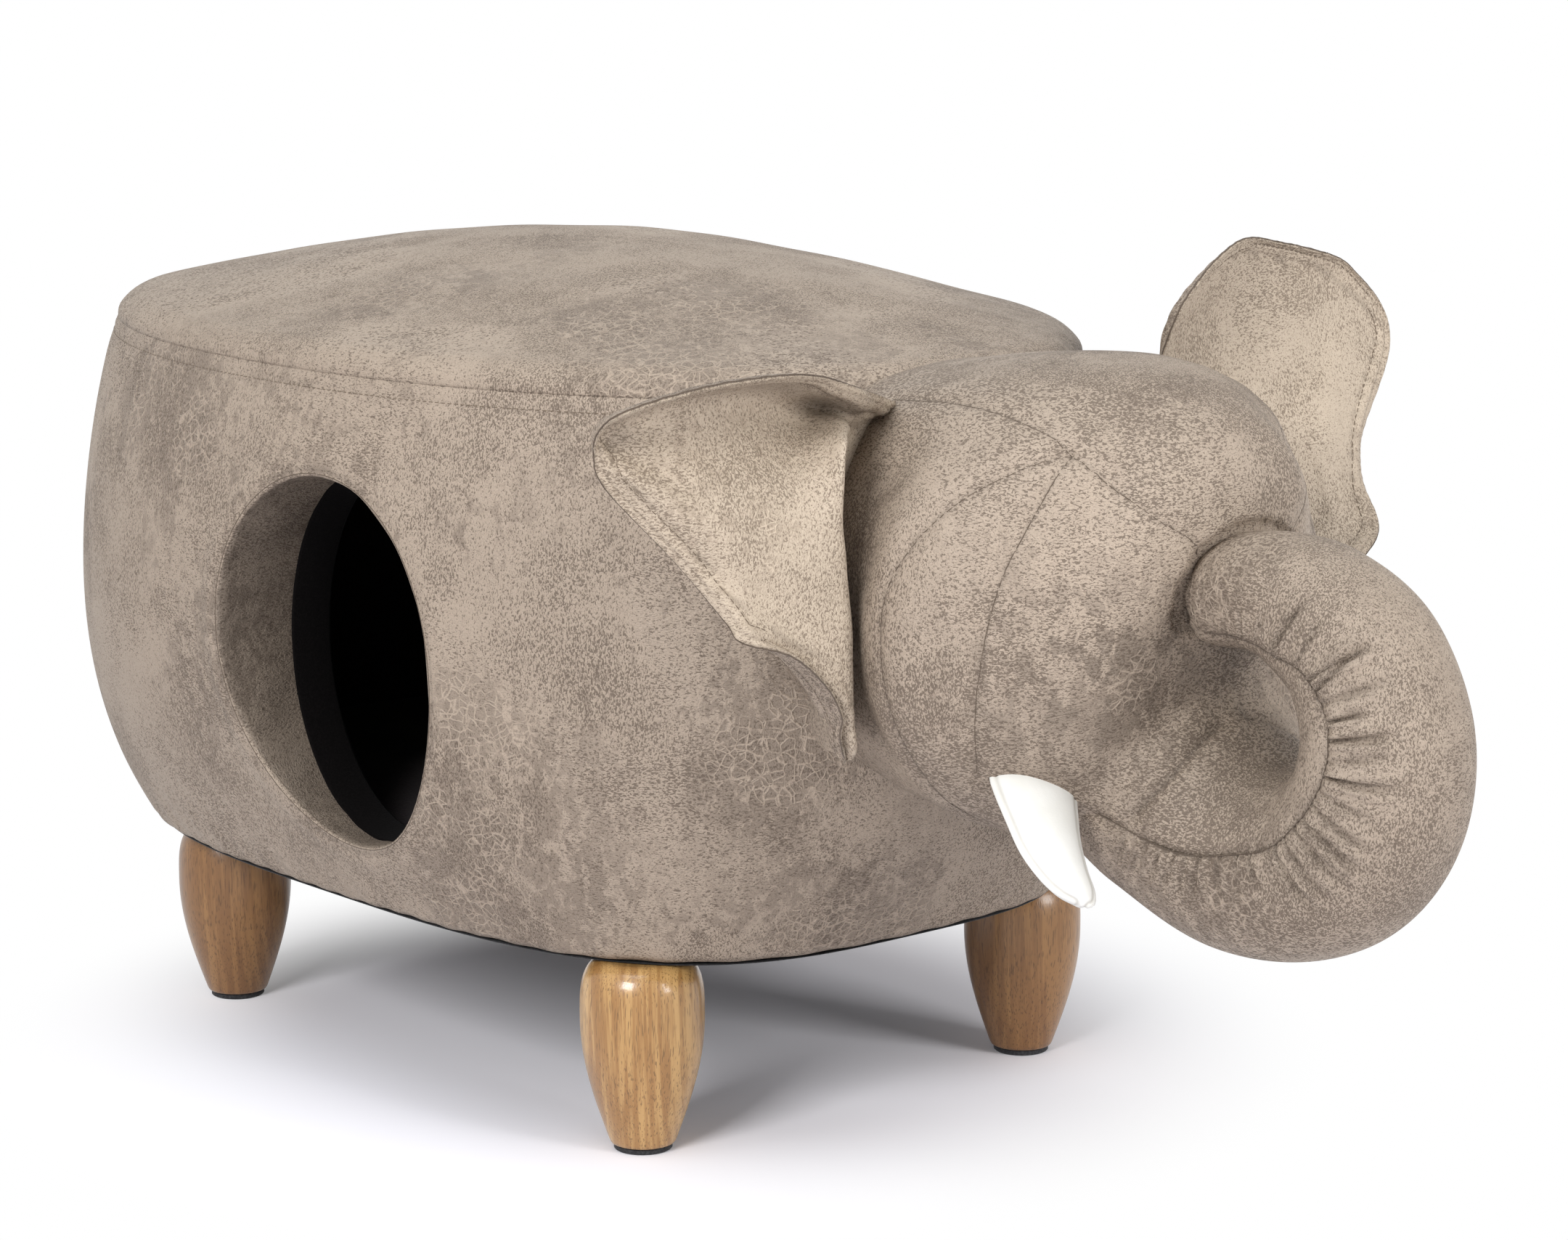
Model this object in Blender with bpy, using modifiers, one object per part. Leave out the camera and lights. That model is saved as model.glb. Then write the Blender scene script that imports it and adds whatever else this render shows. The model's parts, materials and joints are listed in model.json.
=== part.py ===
"""Elephant footstool: an upholstered barrel seat on four turned legs, with a pet cabin inside.

The stool stands on z = 0 with +Z up. The elephant looks towards -Y, so its right side is at -X,
and that side holds the round entrance to the cabin. Lengths are metres.
"""

import math

import bmesh
import bpy
from mathutils import Matrix, Vector

# Driving dimensions: fits
CLEARANCE = 0.0003
PADDING_GAP = 0.0005
CUT_OVERRUN = 0.04

# Driving dimensions: legs and their fixings
LEG_INSET_X = 0.0503
LEG_INSET_Y = 0.0842
LEG_LENGTH = 0.0946
LEG_MAX_RADIUS = 0.031
LEG_FOOT_RADIUS = 0.0162
LEG_TOP_RADIUS = 0.019
LEG_WIDEST_SHARE = 0.684
LEG_SHOULDER_SQUARENESS = 3.4
FOOT_PAD_RADIUS = 0.0146
FOOT_PAD_THICKNESS = 0.003
FOOT_PAD_BEVEL = 0.0005
BOLT_RADIUS = 0.004
BOLT_LENGTH = 0.048
BOLT_BEVEL = 0.0008
INSERT_RADIUS = 0.006
INSERT_LENGTH = 0.012
INSERT_TAPER = 0.001

# Driving dimensions: body outline, as half length (Y) and half width (X) of the base, the belly and seam
# overhanging it, and the squareness at each height
BODY_CENTRE_Y = 0.028
BASE_CENTRE_Y = 0.022
BASE_HALF_LENGTH = 0.266
BASE_HALF_WIDTH = 0.180
BASE_SQUARENESS = 3.2
BELLY_RISE = 0.1387
BELLY_LENGTH_OVERHANG = 0.060
BELLY_WIDTH_OVERHANG = 0.052
BELLY_SQUARENESS = 2.22
SEAM_RISE = 0.2797
SEAM_LENGTH_OVERHANG = 0.040
SEAM_WIDTH_OVERHANG = 0.0305
SEAM_SQUARENESS = 2.15
EDGE_ROLL_HEIGHT = 0.011
EDGE_ROLL_WIDTH = 0.012
CROWN_HEIGHT = 0.043
CROWN_POWER = 1.6

# Driving dimensions: frame, padding and covers
LEATHER = 0.0016
LINING = 0.001
DUST_COVER_THICKNESS = 0.0008
DUST_COVER_INSET = 0.003
HEM_WIDTH = 0.008
BASE_BOARD_THICKNESS = 0.015
SEAT_BOARD_THICKNESS = 0.012
SEAT_BOARD_DROP = 0.012
WALL_SETBACK = 0.006
WALL_THICKNESS = 0.010

# Driving dimensions: entrance and mat
ENTRANCE_CENTRE_Y = -0.042
ENTRANCE_RISE = 0.1352
ENTRANCE_HALF_WIDTH = 0.0775
ENTRANCE_HALF_HEIGHT = 0.0955
EDGING = 0.0012
MAT_THICKNESS = 0.016
MAT_CROWN = 0.003
MAT_MARGIN = 0.008
MAT_ROLL = 0.006

# Driving dimensions: the belly's front and the base level that head, trunk, ears and tusks are drawn against
DRAWN_FRONT_Y = -0.298
DRAWN_BASE_Z = 0.0993

# Driving dimensions: head stations from neck to brow, as (y, half width, top z, underside z, squareness)
HEAD_STATIONS = (
    (-0.200, 0.112, 0.378, 0.204, 2.3),
    (-0.260, 0.124, 0.390, 0.196, 2.3),
    (-0.305, 0.136, 0.398, 0.188, 2.3),
    (-0.340, 0.142, 0.4030, 0.181, 2.25),
    (-0.368, 0.140, 0.4040, 0.177, 2.2),
    (-0.392, 0.128, 0.4025, 0.178, 2.2),
    (-0.412, 0.110, 0.3985, 0.184, 2.15),
    (-0.428, 0.094, 0.3925, 0.194, 2.1),
    (-0.440, 0.079, 0.3860, 0.218, 2.1),
    (-0.448, 0.067, 0.3795, 0.272, 2.1),
    (-0.455, 0.054, 0.3710, 0.304, 2.1),
    (-0.460, 0.039, 0.3620, 0.320, 2.1),
    (-0.463, 0.022, 0.3535, 0.330, 2.1),
)
BROW_Y = -0.4642
BROW_Z = 0.3425

# Driving dimensions: trunk stations from root to tip, as (y, z, half thickness in the curl, half width)
TRUNK_STATIONS = (
    (-0.335, 0.252, 0.055, 0.066),
    (-0.385, 0.228, 0.054, 0.064),
    (-0.430, 0.203, 0.050, 0.059),
    (-0.473, 0.184, 0.045, 0.052),
    (-0.515, 0.189, 0.042, 0.046),
    (-0.541, 0.215, 0.039, 0.042),
    (-0.5475, 0.251, 0.0365, 0.039),
    (-0.533, 0.284, 0.034, 0.036),
    (-0.505, 0.302, 0.031, 0.033),
    (-0.482, 0.307, 0.028, 0.030),
    (-0.466, 0.306, 0.0265, 0.0285),
)
TRUNK_TIP = (-0.4500, 0.3050)
TRUNK_TIP_SHARES = ((0.55, 0.90), (0.85, 0.62), (0.96, 0.30))
TRUNK_SQUARENESS = 2.15

# Driving dimensions: ear rims (x, y, z), from the top of the root round to the bottom of it
LEFT_EAR_RIM = (
    (0.086, -0.312, 0.388),
    (0.106, -0.306, 0.418),
    (0.143, -0.300, 0.437),
    (0.186, -0.300, 0.441),
    (0.224, -0.303, 0.429),
    (0.250, -0.308, 0.405),
    (0.257, -0.312, 0.379),
    (0.246, -0.316, 0.350),
    (0.224, -0.323, 0.328),
    (0.212, -0.342, 0.307),
    (0.203, -0.351, 0.292),
    (0.176, -0.349, 0.265),
    (0.152, -0.344, 0.243),
    (0.138, -0.338, 0.222),
)
RIGHT_EAR_RIM = (
    (0.088, -0.316, 0.388),
    (0.112, -0.335, 0.397),
    (0.142, -0.345, 0.401),
    (0.177, -0.345, 0.403),
    (0.215, -0.340, 0.401),
    (0.246, -0.326, 0.394),
    (0.261, -0.313, 0.378),
    (0.252, -0.322, 0.350),
    (0.232, -0.335, 0.324),
    (0.214, -0.350, 0.304),
    (0.196, -0.355, 0.282),
    (0.170, -0.352, 0.261),
    (0.152, -0.348, 0.242),
    (0.139, -0.340, 0.222),
)
EAR_ROOT_TOP = (0.080, -0.308, 0.384)
EAR_ROOT_BOTTOM = (0.124, -0.314, 0.226)
EAR_ROOT_BULGE = 0.030
EAR_ROOT_POWER = 0.6
EAR_CUP = 0.024
EAR_CUP_POWER = 0.55
EAR_FOLD_POWER = 4
EAR_PANEL = 0.0026

# Driving dimensions: tusk stations, as (x, y, z, half width, half thickness), and which way it is wide
TUSK_STATIONS = (
    (0.0761, -0.4033, 0.2244, 0.0210, 0.0060),
    (0.0828, -0.4093, 0.2165, 0.0210, 0.0075),
    (0.0858, -0.4141, 0.2107, 0.0202, 0.0078),
    (0.0898, -0.4234, 0.1999, 0.0179, 0.0075),
    (0.0929, -0.4333, 0.1889, 0.0162, 0.0068),
    (0.0932, -0.4414, 0.1802, 0.0140, 0.0057),
    (0.0932, -0.4470, 0.1745, 0.0100, 0.0043),
    (0.0920, -0.4500, 0.1715, 0.0045, 0.0024),
)
TUSK_WIDE_AXIS = (-0.816, -0.484, -0.315)

# Counts
AROUND = 44
SIDE_RINGS = 7
CROWN_SHARES = (0.985, 0.955, 0.89, 0.74, 0.50, 0.25)
SIDE_PANEL_STATIONS = 6
ENTRANCE_AROUND = 36
HEAD_AROUND = 28
HEAD_BETWEEN = 0
STUFFING_AROUND = 14
TRUNK_AROUND = 14
TRUNK_BETWEEN = 1
EAR_SHARES = (0, 0.12, 0.28, 0.50, 0.75, 1)
TUSK_AROUND = 12
LEG_STEPS = 20
FIXING_STEPS = 12

# Derived sizes and levels
BELLY_HALF_LENGTH = BASE_HALF_LENGTH + BELLY_LENGTH_OVERHANG
BELLY_HALF_WIDTH = BASE_HALF_WIDTH + BELLY_WIDTH_OVERHANG
SEAM_HALF_LENGTH = BASE_HALF_LENGTH + SEAM_LENGTH_OVERHANG
SEAM_HALF_WIDTH = BASE_HALF_WIDTH + SEAM_WIDTH_OVERHANG
LEG_X = BASE_HALF_WIDTH - LEG_INSET_X
LEG_Y = BASE_HALF_LENGTH - LEG_INSET_Y
LEG_BOTTOM_Z = FOOT_PAD_THICKNESS + CLEARANCE
LEG_TOP_Z = LEG_BOTTOM_Z + LEG_LENGTH
DUST_COVER_Z = LEG_TOP_Z + CLEARANCE
BASE_Z = DUST_COVER_Z + DUST_COVER_THICKNESS + CLEARANCE
SEAM_Z = BASE_Z + SEAM_RISE
ENTRANCE_CENTRE_Z = BASE_Z + ENTRANCE_RISE
BOARD_Z = BASE_Z + LEATHER + CLEARANCE
FLOOR_Z = BOARD_Z + BASE_BOARD_THICKNESS
SEAT_TOP_Z = SEAM_Z - SEAT_BOARD_DROP
SEAT_UNDER_Z = SEAT_TOP_Z - SEAT_BOARD_THICKNESS
WALL_INNER_INSET = WALL_SETBACK + WALL_THICKNESS
PADDING_INSET = LEATHER + PADDING_GAP
SECTOR_GAP_ANGLE = CLEARANCE / BASE_HALF_WIDTH
HEAD_SHIFT = Vector((0, BODY_CENTRE_Y - BELLY_HALF_LENGTH - DRAWN_FRONT_Y, BASE_Z - DRAWN_BASE_Z))

# Colour, roughness and metallic of each finish, read from the photograph
FINISHES = {
    "taupe_leather": ((0.325, 0.265, 0.215), 0.50, 0.0),
    "pale_leather": ((0.430, 0.370, 0.300), 0.50, 0.0),
    "white_vinyl": ((0.800, 0.780, 0.740), 0.42, 0.0),
    "black_cloth": ((0.018, 0.018, 0.019), 0.90, 0.0),
    "felt": ((0.030, 0.030, 0.032), 0.95, 0.0),
    "lacquered_ash": ((0.480, 0.270, 0.120), 0.28, 0.0),
    "pine_board": ((0.560, 0.420, 0.260), 0.70, 0.0),
    "foam": ((0.780, 0.730, 0.600), 0.90, 0.0),
    "fibre": ((0.820, 0.820, 0.800), 0.95, 0.0),
    "zinc": ((0.620, 0.620, 0.600), 0.35, 1.0),
}


def clear_scene():
    for obj in list(bpy.data.objects):
        bpy.data.objects.remove(obj, do_unlink=True)


def new_collection(name, hidden):
    collection = bpy.data.collections.new(name)
    bpy.context.scene.collection.children.link(collection)
    collection.hide_render = hidden
    return collection


clear_scene()
PARTS = new_collection("elephant_footstool", False)
CUTTERS = new_collection("cutters", True)
STOOL = bpy.data.objects.new("stool_origin", None)
PARTS.objects.link(STOOL)


def add_part(name, finish, mesh, location=(0, 0, 0)):
    """Link a mesh as a named piece of the stool, with a material of its own."""
    colour, roughness, metallic = FINISHES[finish]
    material = bpy.data.materials.new(f"{name}_{finish}")
    material.use_nodes = True
    shader = material.node_tree.nodes["Principled BSDF"]
    shader.inputs["Base Color"].default_value = (*colour, 1)
    shader.inputs["Roughness"].default_value = roughness
    shader.inputs["Metallic"].default_value = metallic
    mesh.materials.append(material)
    part = bpy.data.objects.new(name, mesh)
    part.location = location
    part.parent = STOOL
    PARTS.objects.link(part)
    return part


def add_cutter(name, mesh):
    cutter = bpy.data.objects.new(name, mesh)
    cutter.hide_render = True
    cutter.display_type = "WIRE"
    cutter.parent = STOOL
    CUTTERS.objects.link(cutter)
    return cutter


def mesh_from(name, points, faces, smooth=True):
    mesh = bpy.data.meshes.new(name)
    mesh.from_pydata([tuple(point) for point in points], [], faces)
    mesh.polygons.foreach_set("use_smooth", [smooth] * len(mesh.polygons))
    mesh.set_sharp_from_angle(angle=math.radians(40))
    return mesh


def cut(part, cutter):
    modifier = part.modifiers.new(f"cut_{cutter.name}", "BOOLEAN")
    modifier.operation = "DIFFERENCE"
    modifier.solver = "EXACT"
    modifier.object = cutter


def add_turned(name, finish, profile, steps, location, ring=False):
    """Turn a profile of (radius, z) points round the Z axis, its outside running down."""
    mesh = bpy.data.meshes.new(name)
    points = [(radius, 0, z) for radius, z in profile]
    edges = [(index, index + 1) for index in range(len(points) - 1)]
    if ring:
        edges.append((len(points) - 1, 0))
    mesh.from_pydata(points, edges, [])
    part = add_part(name, finish, mesh, location)
    screw = part.modifiers.new("turn", "SCREW")
    screw.steps = steps
    screw.render_steps = steps
    screw.use_merge_vertices = True
    screw.merge_threshold = CLEARANCE / 10
    screw.use_smooth_shade = True
    return part


def oval_point(turn, half_length, half_width, squareness, centre):
    """Point of a squared oval round a centre on the Y axis, at a turn in radians from +X."""
    cosine = math.cos(turn)
    sine = math.sin(turn)
    reach = (abs(cosine) ** squareness + abs(sine) ** squareness) ** (-1 / squareness)
    return half_width * reach * cosine, centre + half_length * reach * sine


def through_three(share, first, second, third):
    """Value at a share of the side's height, on the parabola through base, belly and seam values."""
    middle = BELLY_RISE / SEAM_RISE
    low = (share - middle) * (share - 1) / middle
    mid = share * (share - 1) / (middle * (middle - 1))
    high = share * (share - middle) / (1 - middle)
    return first * low + second * mid + third * high


def side_outline(share):
    return (
        through_three(share, BASE_HALF_LENGTH, BELLY_HALF_LENGTH, SEAM_HALF_LENGTH),
        through_three(share, BASE_HALF_WIDTH, BELLY_HALF_WIDTH, SEAM_HALF_WIDTH),
        through_three(share, BASE_SQUARENESS, BELLY_SQUARENESS, SEAM_SQUARENESS),
        through_three(share, BASE_CENTRE_Y, BODY_CENTRE_Y, BODY_CENTRE_Y),
    )


def side_point(turn, z, inset):
    """Point of the body's side at a height, moved in by an inset, on the same facets for every layer."""
    rings = (z - BASE_Z) / SEAM_RISE * SIDE_RINGS
    ring = min(max(int(rings), 0), SIDE_RINGS - 1)
    ends = []
    for share in (ring / SIDE_RINGS, (ring + 1) / SIDE_RINGS):
        length, width, squareness, centre = side_outline(share)
        place = oval_point(turn, length - inset, width - inset, squareness, centre)
        ends.append(Vector(place))
    flat = ends[0].lerp(ends[1], rings - ring)
    return Vector((flat.x, flat.y, z))


def frame_point(turn, z, inset):
    """Point of the upright frame's outline, moved in from the body's base by an inset."""
    length = BASE_HALF_LENGTH - inset
    width = BASE_HALF_WIDTH - inset
    x, y = oval_point(turn, length, width, BASE_SQUARENESS, BASE_CENTRE_Y)
    return Vector((x, y, z))


def crown_point(turn, share, drop):
    """Point of the top cover at a share of the seam's outline, with the rolled edge."""
    middle = BODY_CENTRE_Y
    x, y = oval_point(turn, SEAM_HALF_LENGTH, SEAM_HALF_WIDTH, SEAM_SQUARENESS, middle)
    edge = min(1, SEAM_HALF_WIDTH * (1 - share) / EDGE_ROLL_WIDTH)
    rise = EDGE_ROLL_HEIGHT * math.sqrt(1 - (1 - edge) ** 2)
    rise += CROWN_HEIGHT * (1 - share**CROWN_POWER)
    return Vector((x * share, middle + (y - middle) * share, SEAM_Z + rise - drop))


def turns_between(first, last):
    """Turns of the shared stations from one index to another, drawn in at both ends by half a gap."""
    turns = [2 * math.pi * index / AROUND for index in range(first, last + 1)]
    turns[0] += SECTOR_GAP_ANGLE / 2
    turns[-1] -= SECTOR_GAP_ANGLE / 2
    return turns


ALL_TURNS = [2 * math.pi * index / AROUND for index in range(AROUND)]
SIDE_LEVELS = [BASE_Z + SEAM_RISE * index / SIDE_RINGS for index in range(SIDE_RINGS + 1)]


PAD_LOW_Z = FLOOR_Z + CLEARANCE


def levels_between(low, high):
    shared = sorted(SIDE_LEVELS + [PAD_LOW_Z])
    return [low] + [z for z in shared if low + CLEARANCE < z < high - CLEARANCE] + [high]


def outward(points, faces):
    """The faces of a closed body, turned over if they point inwards."""
    volume = 0
    for face in faces:
        for index in range(1, len(face) - 1):
            second = points[face[index]]
            volume += points[face[0]].dot(second.cross(points[face[index + 1]]))
    return faces if volume > 0 else [tuple(reversed(face)) for face in faces]


def band(outer_columns, inner_columns, whole):
    """Closed wall between matching columns of outer and inner points, all round or with two ends."""
    count = len(outer_columns)
    rows = len(outer_columns[0])
    points = []
    for outer, inner in zip(outer_columns, inner_columns):
        points += list(outer) + list(reversed(inner))
    loop = 2 * rows
    faces = []
    for column in range(count if whole else count - 1):
        here = column * loop
        there = (column + 1) % count * loop
        for row in range(loop):
            after = (row + 1) % loop
            corners = (here + row, there + row, there + after, here + after)
            if row < rows:
                faces += [corners[:3], (corners[0], corners[2], corners[3])]
            else:
                faces += [corners[1:], (corners[0], corners[1], corners[3])]
    if not whole:
        last = (count - 1) * loop
        for row in range(rows - 1):
            mirror = loop - 1 - row
            faces.append((row, row + 1, mirror - 1, mirror))
            faces.append((last + row, last + mirror, last + mirror - 1, last + row + 1))
    return points, outward(points, faces)


def stack(rings):
    """Closed solid through rings of equal count, with a fan at each end, normals outward going up."""
    count = len(rings[0])
    points = [point for ring in rings for point in ring]
    faces = []
    for level in range(len(rings) - 1):
        for index in range(count):
            after = (index + 1) % count
            low = level * count
            high = low + count
            faces.append((low + index, low + after, high + after))
            faces.append((low + index, high + after, high + index))
    for ring, flip in ((0, True), (len(rings) - 1, False)):
        centre = sum(rings[ring], Vector()) / count
        points.append(centre)
        hub = len(points) - 1
        for index in range(count):
            first = ring * count + index
            second = ring * count + (index + 1) % count
            faces.append((hub, second, first) if flip else (hub, first, second))
    return points, outward(points, faces)


def normals_of(points, faces):
    """Unit normals at the points, weighted by face area."""
    sums = [Vector() for _ in points]
    for face in faces:
        corners = [points[index] for index in face]
        normal = Vector()
        for index in range(1, len(corners) - 1):
            normal += (corners[index] - corners[0]).cross(corners[index + 1] - corners[0])
        for index in face:
            sums[index] += normal
    return [total.normalized() for total in sums]


def grown(points, faces, distance):
    normals = normals_of(points, faces)
    return [point + normal * distance for point, normal in zip(points, normals)]


def hollow(points, faces, thickness):
    """Nested outer and inner surface of a thin cover, opened later by a cut."""
    inner = grown(points, faces, -thickness)
    shift = len(points)
    turned = [tuple(shift + index for index in reversed(face)) for face in faces]
    return list(points) + inner, list(faces) + turned


def smooth_path(stations, between):
    """Stations with extra ones on a smooth curve through them, as Vectors of any size."""
    values = [Vector(station) for station in stations]
    path = []
    for index in range(len(values) - 1):
        before = values[max(index - 1, 0)]
        start = values[index]
        end = values[index + 1]
        after = values[min(index + 2, len(values) - 1)]
        for step in range(between + 1):
            t = step / (between + 1)
            path.append(
                0.5
                * (
                    2 * start
                    + (end - before) * t
                    + (2 * before - 5 * start + 4 * end - after) * t**2
                    + (3 * start - before - 3 * end + after) * t**3
                )
            )
    path.append(values[-1])
    return path


def rounded_unit(turn, squareness):
    cosine = math.cos(turn)
    sine = math.sin(turn)
    reach = (abs(cosine) ** squareness + abs(sine) ** squareness) ** (-1 / squareness)
    return cosine * reach, sine * reach


# Legs, foot pads, hanger bolts and threaded inserts


def leg_radius(share):
    """Outside radius at a share of the leg's length: a sine curve up to the widest place, then a shoulder."""
    if share < LEG_WIDEST_SHARE:
        rise = math.sin(math.pi / 2 * share / LEG_WIDEST_SHARE)
        return LEG_FOOT_RADIUS + (LEG_MAX_RADIUS - LEG_FOOT_RADIUS) * rise
    past = (share - LEG_WIDEST_SHARE) / (1 - LEG_WIDEST_SHARE)
    fall = math.sqrt(1 - min(past, 1) ** LEG_SHOULDER_SQUARENESS)
    return LEG_TOP_RADIUS + (LEG_MAX_RADIUS - LEG_TOP_RADIUS) * fall


def add_leg(place, x, y):
    bore_radius = BOLT_RADIUS + CLEARANCE
    bolt_top = BOARD_Z + INSERT_LENGTH
    bolt_bottom = bolt_top - BOLT_LENGTH
    bore_bottom = bolt_bottom - LEG_BOTTOM_Z - CLEARANCE
    shares = (1, 0.985, 0.95, 0.88, 0.78, 0.684, 0.55, 0.40, 0.26, 0.13, 0)
    outside = [(leg_radius(share), LEG_LENGTH * share) for share in shares]
    inside = [(0, bore_bottom), (bore_radius, bore_bottom), (bore_radius, LEG_LENGTH)]
    add_turned(
        f"leg_{place}", "lacquered_ash", inside + outside + [(0, 0)], LEG_STEPS, (x, y, LEG_BOTTOM_Z)
    )
    pad = [
        (0, FOOT_PAD_THICKNESS),
        (FOOT_PAD_RADIUS, FOOT_PAD_THICKNESS),
        (FOOT_PAD_RADIUS, FOOT_PAD_BEVEL),
        (FOOT_PAD_RADIUS - FOOT_PAD_BEVEL, 0),
        (0, 0),
    ]
    add_turned(f"foot_pad_{place}", "felt", pad, LEG_STEPS, (x, y, 0))
    bolt = [
        (0, BOLT_LENGTH),
        (BOLT_RADIUS - BOLT_BEVEL, BOLT_LENGTH),
        (BOLT_RADIUS, BOLT_LENGTH - BOLT_BEVEL),
        (BOLT_RADIUS, BOLT_RADIUS),
        (BOLT_BEVEL, 0),
        (0, 0),
    ]
    add_turned(f"hanger_bolt_{place}", "zinc", bolt, FIXING_STEPS, (x, y, bolt_bottom))
    insert = [
        (bore_radius, 0),
        (bore_radius, INSERT_LENGTH),
        (INSERT_RADIUS - INSERT_TAPER, INSERT_LENGTH),
        (INSERT_RADIUS, INSERT_LENGTH - INSERT_TAPER),
        (INSERT_RADIUS, 0),
    ]
    add_turned(f"threaded_insert_{place}", "zinc", insert, FIXING_STEPS, (x, y, BOARD_Z), ring=True)


LEG_PLACES = {
    "front_left": (LEG_X, -LEG_Y),
    "front_right": (-LEG_X, -LEG_Y),
    "rear_left": (LEG_X, LEG_Y),
    "rear_right": (-LEG_X, LEG_Y),
}
for place, (leg_x, leg_y) in LEG_PLACES.items():
    add_leg(place, leg_x, leg_y)


# Boards: dust cover, base board and seat board


def board(name, finish, low, high, inset, turns=ALL_TURNS):
    rings = [[frame_point(turn, z, inset) for turn in turns] for z in (low, high)]
    return add_part(name, finish, mesh_from(name, *stack(rings)))


def leg_holes(name, radius):
    """One cutter with a pin at each leg, for the boards that the bolts pass."""
    shape = bmesh.new()
    for x, y in LEG_PLACES.values():
        bmesh.ops.create_cone(
            shape,
            cap_ends=True,
            segments=FIXING_STEPS,
            radius1=radius,
            radius2=radius,
            depth=CUT_OVERRUN,
            matrix=Matrix.Translation((x, y, BOARD_Z + INSERT_LENGTH / 2)),
        )
    mesh = bpy.data.meshes.new(name)
    shape.to_mesh(mesh)
    shape.free()
    return add_cutter(name, mesh)


bolt_holes = leg_holes("bolt_holes", BOLT_RADIUS + CLEARANCE)
insert_holes = leg_holes("insert_holes", INSERT_RADIUS + CLEARANCE)
dust_top = DUST_COVER_Z + DUST_COVER_THICKNESS
cut(board("dust_cover", "black_cloth", DUST_COVER_Z, dust_top, DUST_COVER_INSET), bolt_holes)
cut(board("base_board", "pine_board", BOARD_Z, FLOOR_Z, PADDING_INSET), insert_holes)
board("seat_board", "pine_board", SEAT_UNDER_Z, SEAT_TOP_Z, WALL_SETBACK)


# Entrance cutters and the places on the ellipse


def entrance_cutter(name, growth):
    shape = bmesh.new()
    reach = BELLY_HALF_WIDTH + CUT_OVERRUN
    size = Matrix.Diagonal((ENTRANCE_HALF_HEIGHT + growth, ENTRANCE_HALF_WIDTH + growth, reach, 1))
    place = Matrix.Translation((-reach / 2, ENTRANCE_CENTRE_Y, ENTRANCE_CENTRE_Z))
    bmesh.ops.create_cone(
        shape,
        cap_ends=True,
        segments=ENTRANCE_AROUND,
        radius1=1,
        radius2=1,
        depth=1,
        matrix=place @ Matrix.Rotation(math.pi / 2, 4, "Y") @ size,
    )
    mesh = bpy.data.meshes.new(name)
    shape.to_mesh(mesh)
    shape.free()
    return add_cutter(name, mesh)


def entrance_ring(growth):
    """(y, z) of the entrance's stations, grown outward by an amount."""
    ring = []
    for index in range(ENTRANCE_AROUND):
        turn = 2 * math.pi * index / ENTRANCE_AROUND
        y = ENTRANCE_CENTRE_Y + (ENTRANCE_HALF_WIDTH + growth) * math.sin(turn)
        z = ENTRANCE_CENTRE_Z + (ENTRANCE_HALF_HEIGHT + growth) * math.cos(turn)
        ring.append((y, z))
    return ring


def right_side_x(y, z, inset, upright):
    """Where a line along X meets the body's right side, or the upright frame's."""
    if upright:
        length, width, squareness, centre = side_outline(0)
    else:
        length, width, squareness, centre = side_outline((z - BASE_Z) / SEAM_RISE)
    off = abs(y - centre) / (length - inset)
    return -(width - inset) * (1 - off**squareness) ** (1 / squareness)


def entrance_tube(name, finish, thickness, outer_x, inner_x):
    """Tube through the entrance between two surfaces, each given as x of (y, z)."""
    outer_columns = []
    inner_columns = []
    for (y_in, z_in), (y_out, z_out) in zip(entrance_ring(0), entrance_ring(thickness)):
        far = [outer_x(y_in, z_in), outer_x(y_out, z_out)]
        near = [inner_x(y_in, z_in), inner_x(y_out, z_out)]
        inner_columns.append([Vector((far[0], y_in, z_in)), Vector((near[0], y_in, z_in))])
        outer_columns.append([Vector((far[1], y_out, z_out)), Vector((near[1], y_out, z_out))])
    return add_part(name, finish, mesh_from(name, *band(outer_columns, inner_columns, True)))


sleeve_hole = entrance_cutter("sleeve_hole", LEATHER + CLEARANCE)
wall_hole = entrance_cutter("wall_hole", EDGING + CLEARANCE)
entrance_tube(
    "entrance_sleeve",
    "taupe_leather",
    LEATHER,
    lambda y, z: right_side_x(y, z, 0, False),
    lambda y, z: right_side_x(y, z, WALL_SETBACK - CLEARANCE, True),
)
entrance_tube(
    "entrance_edging",
    "black_cloth",
    EDGING,
    lambda y, z: right_side_x(y, z, WALL_SETBACK, True),
    lambda y, z: right_side_x(y, z, WALL_INNER_INSET + CLEARANCE + LINING, True),
)


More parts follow.
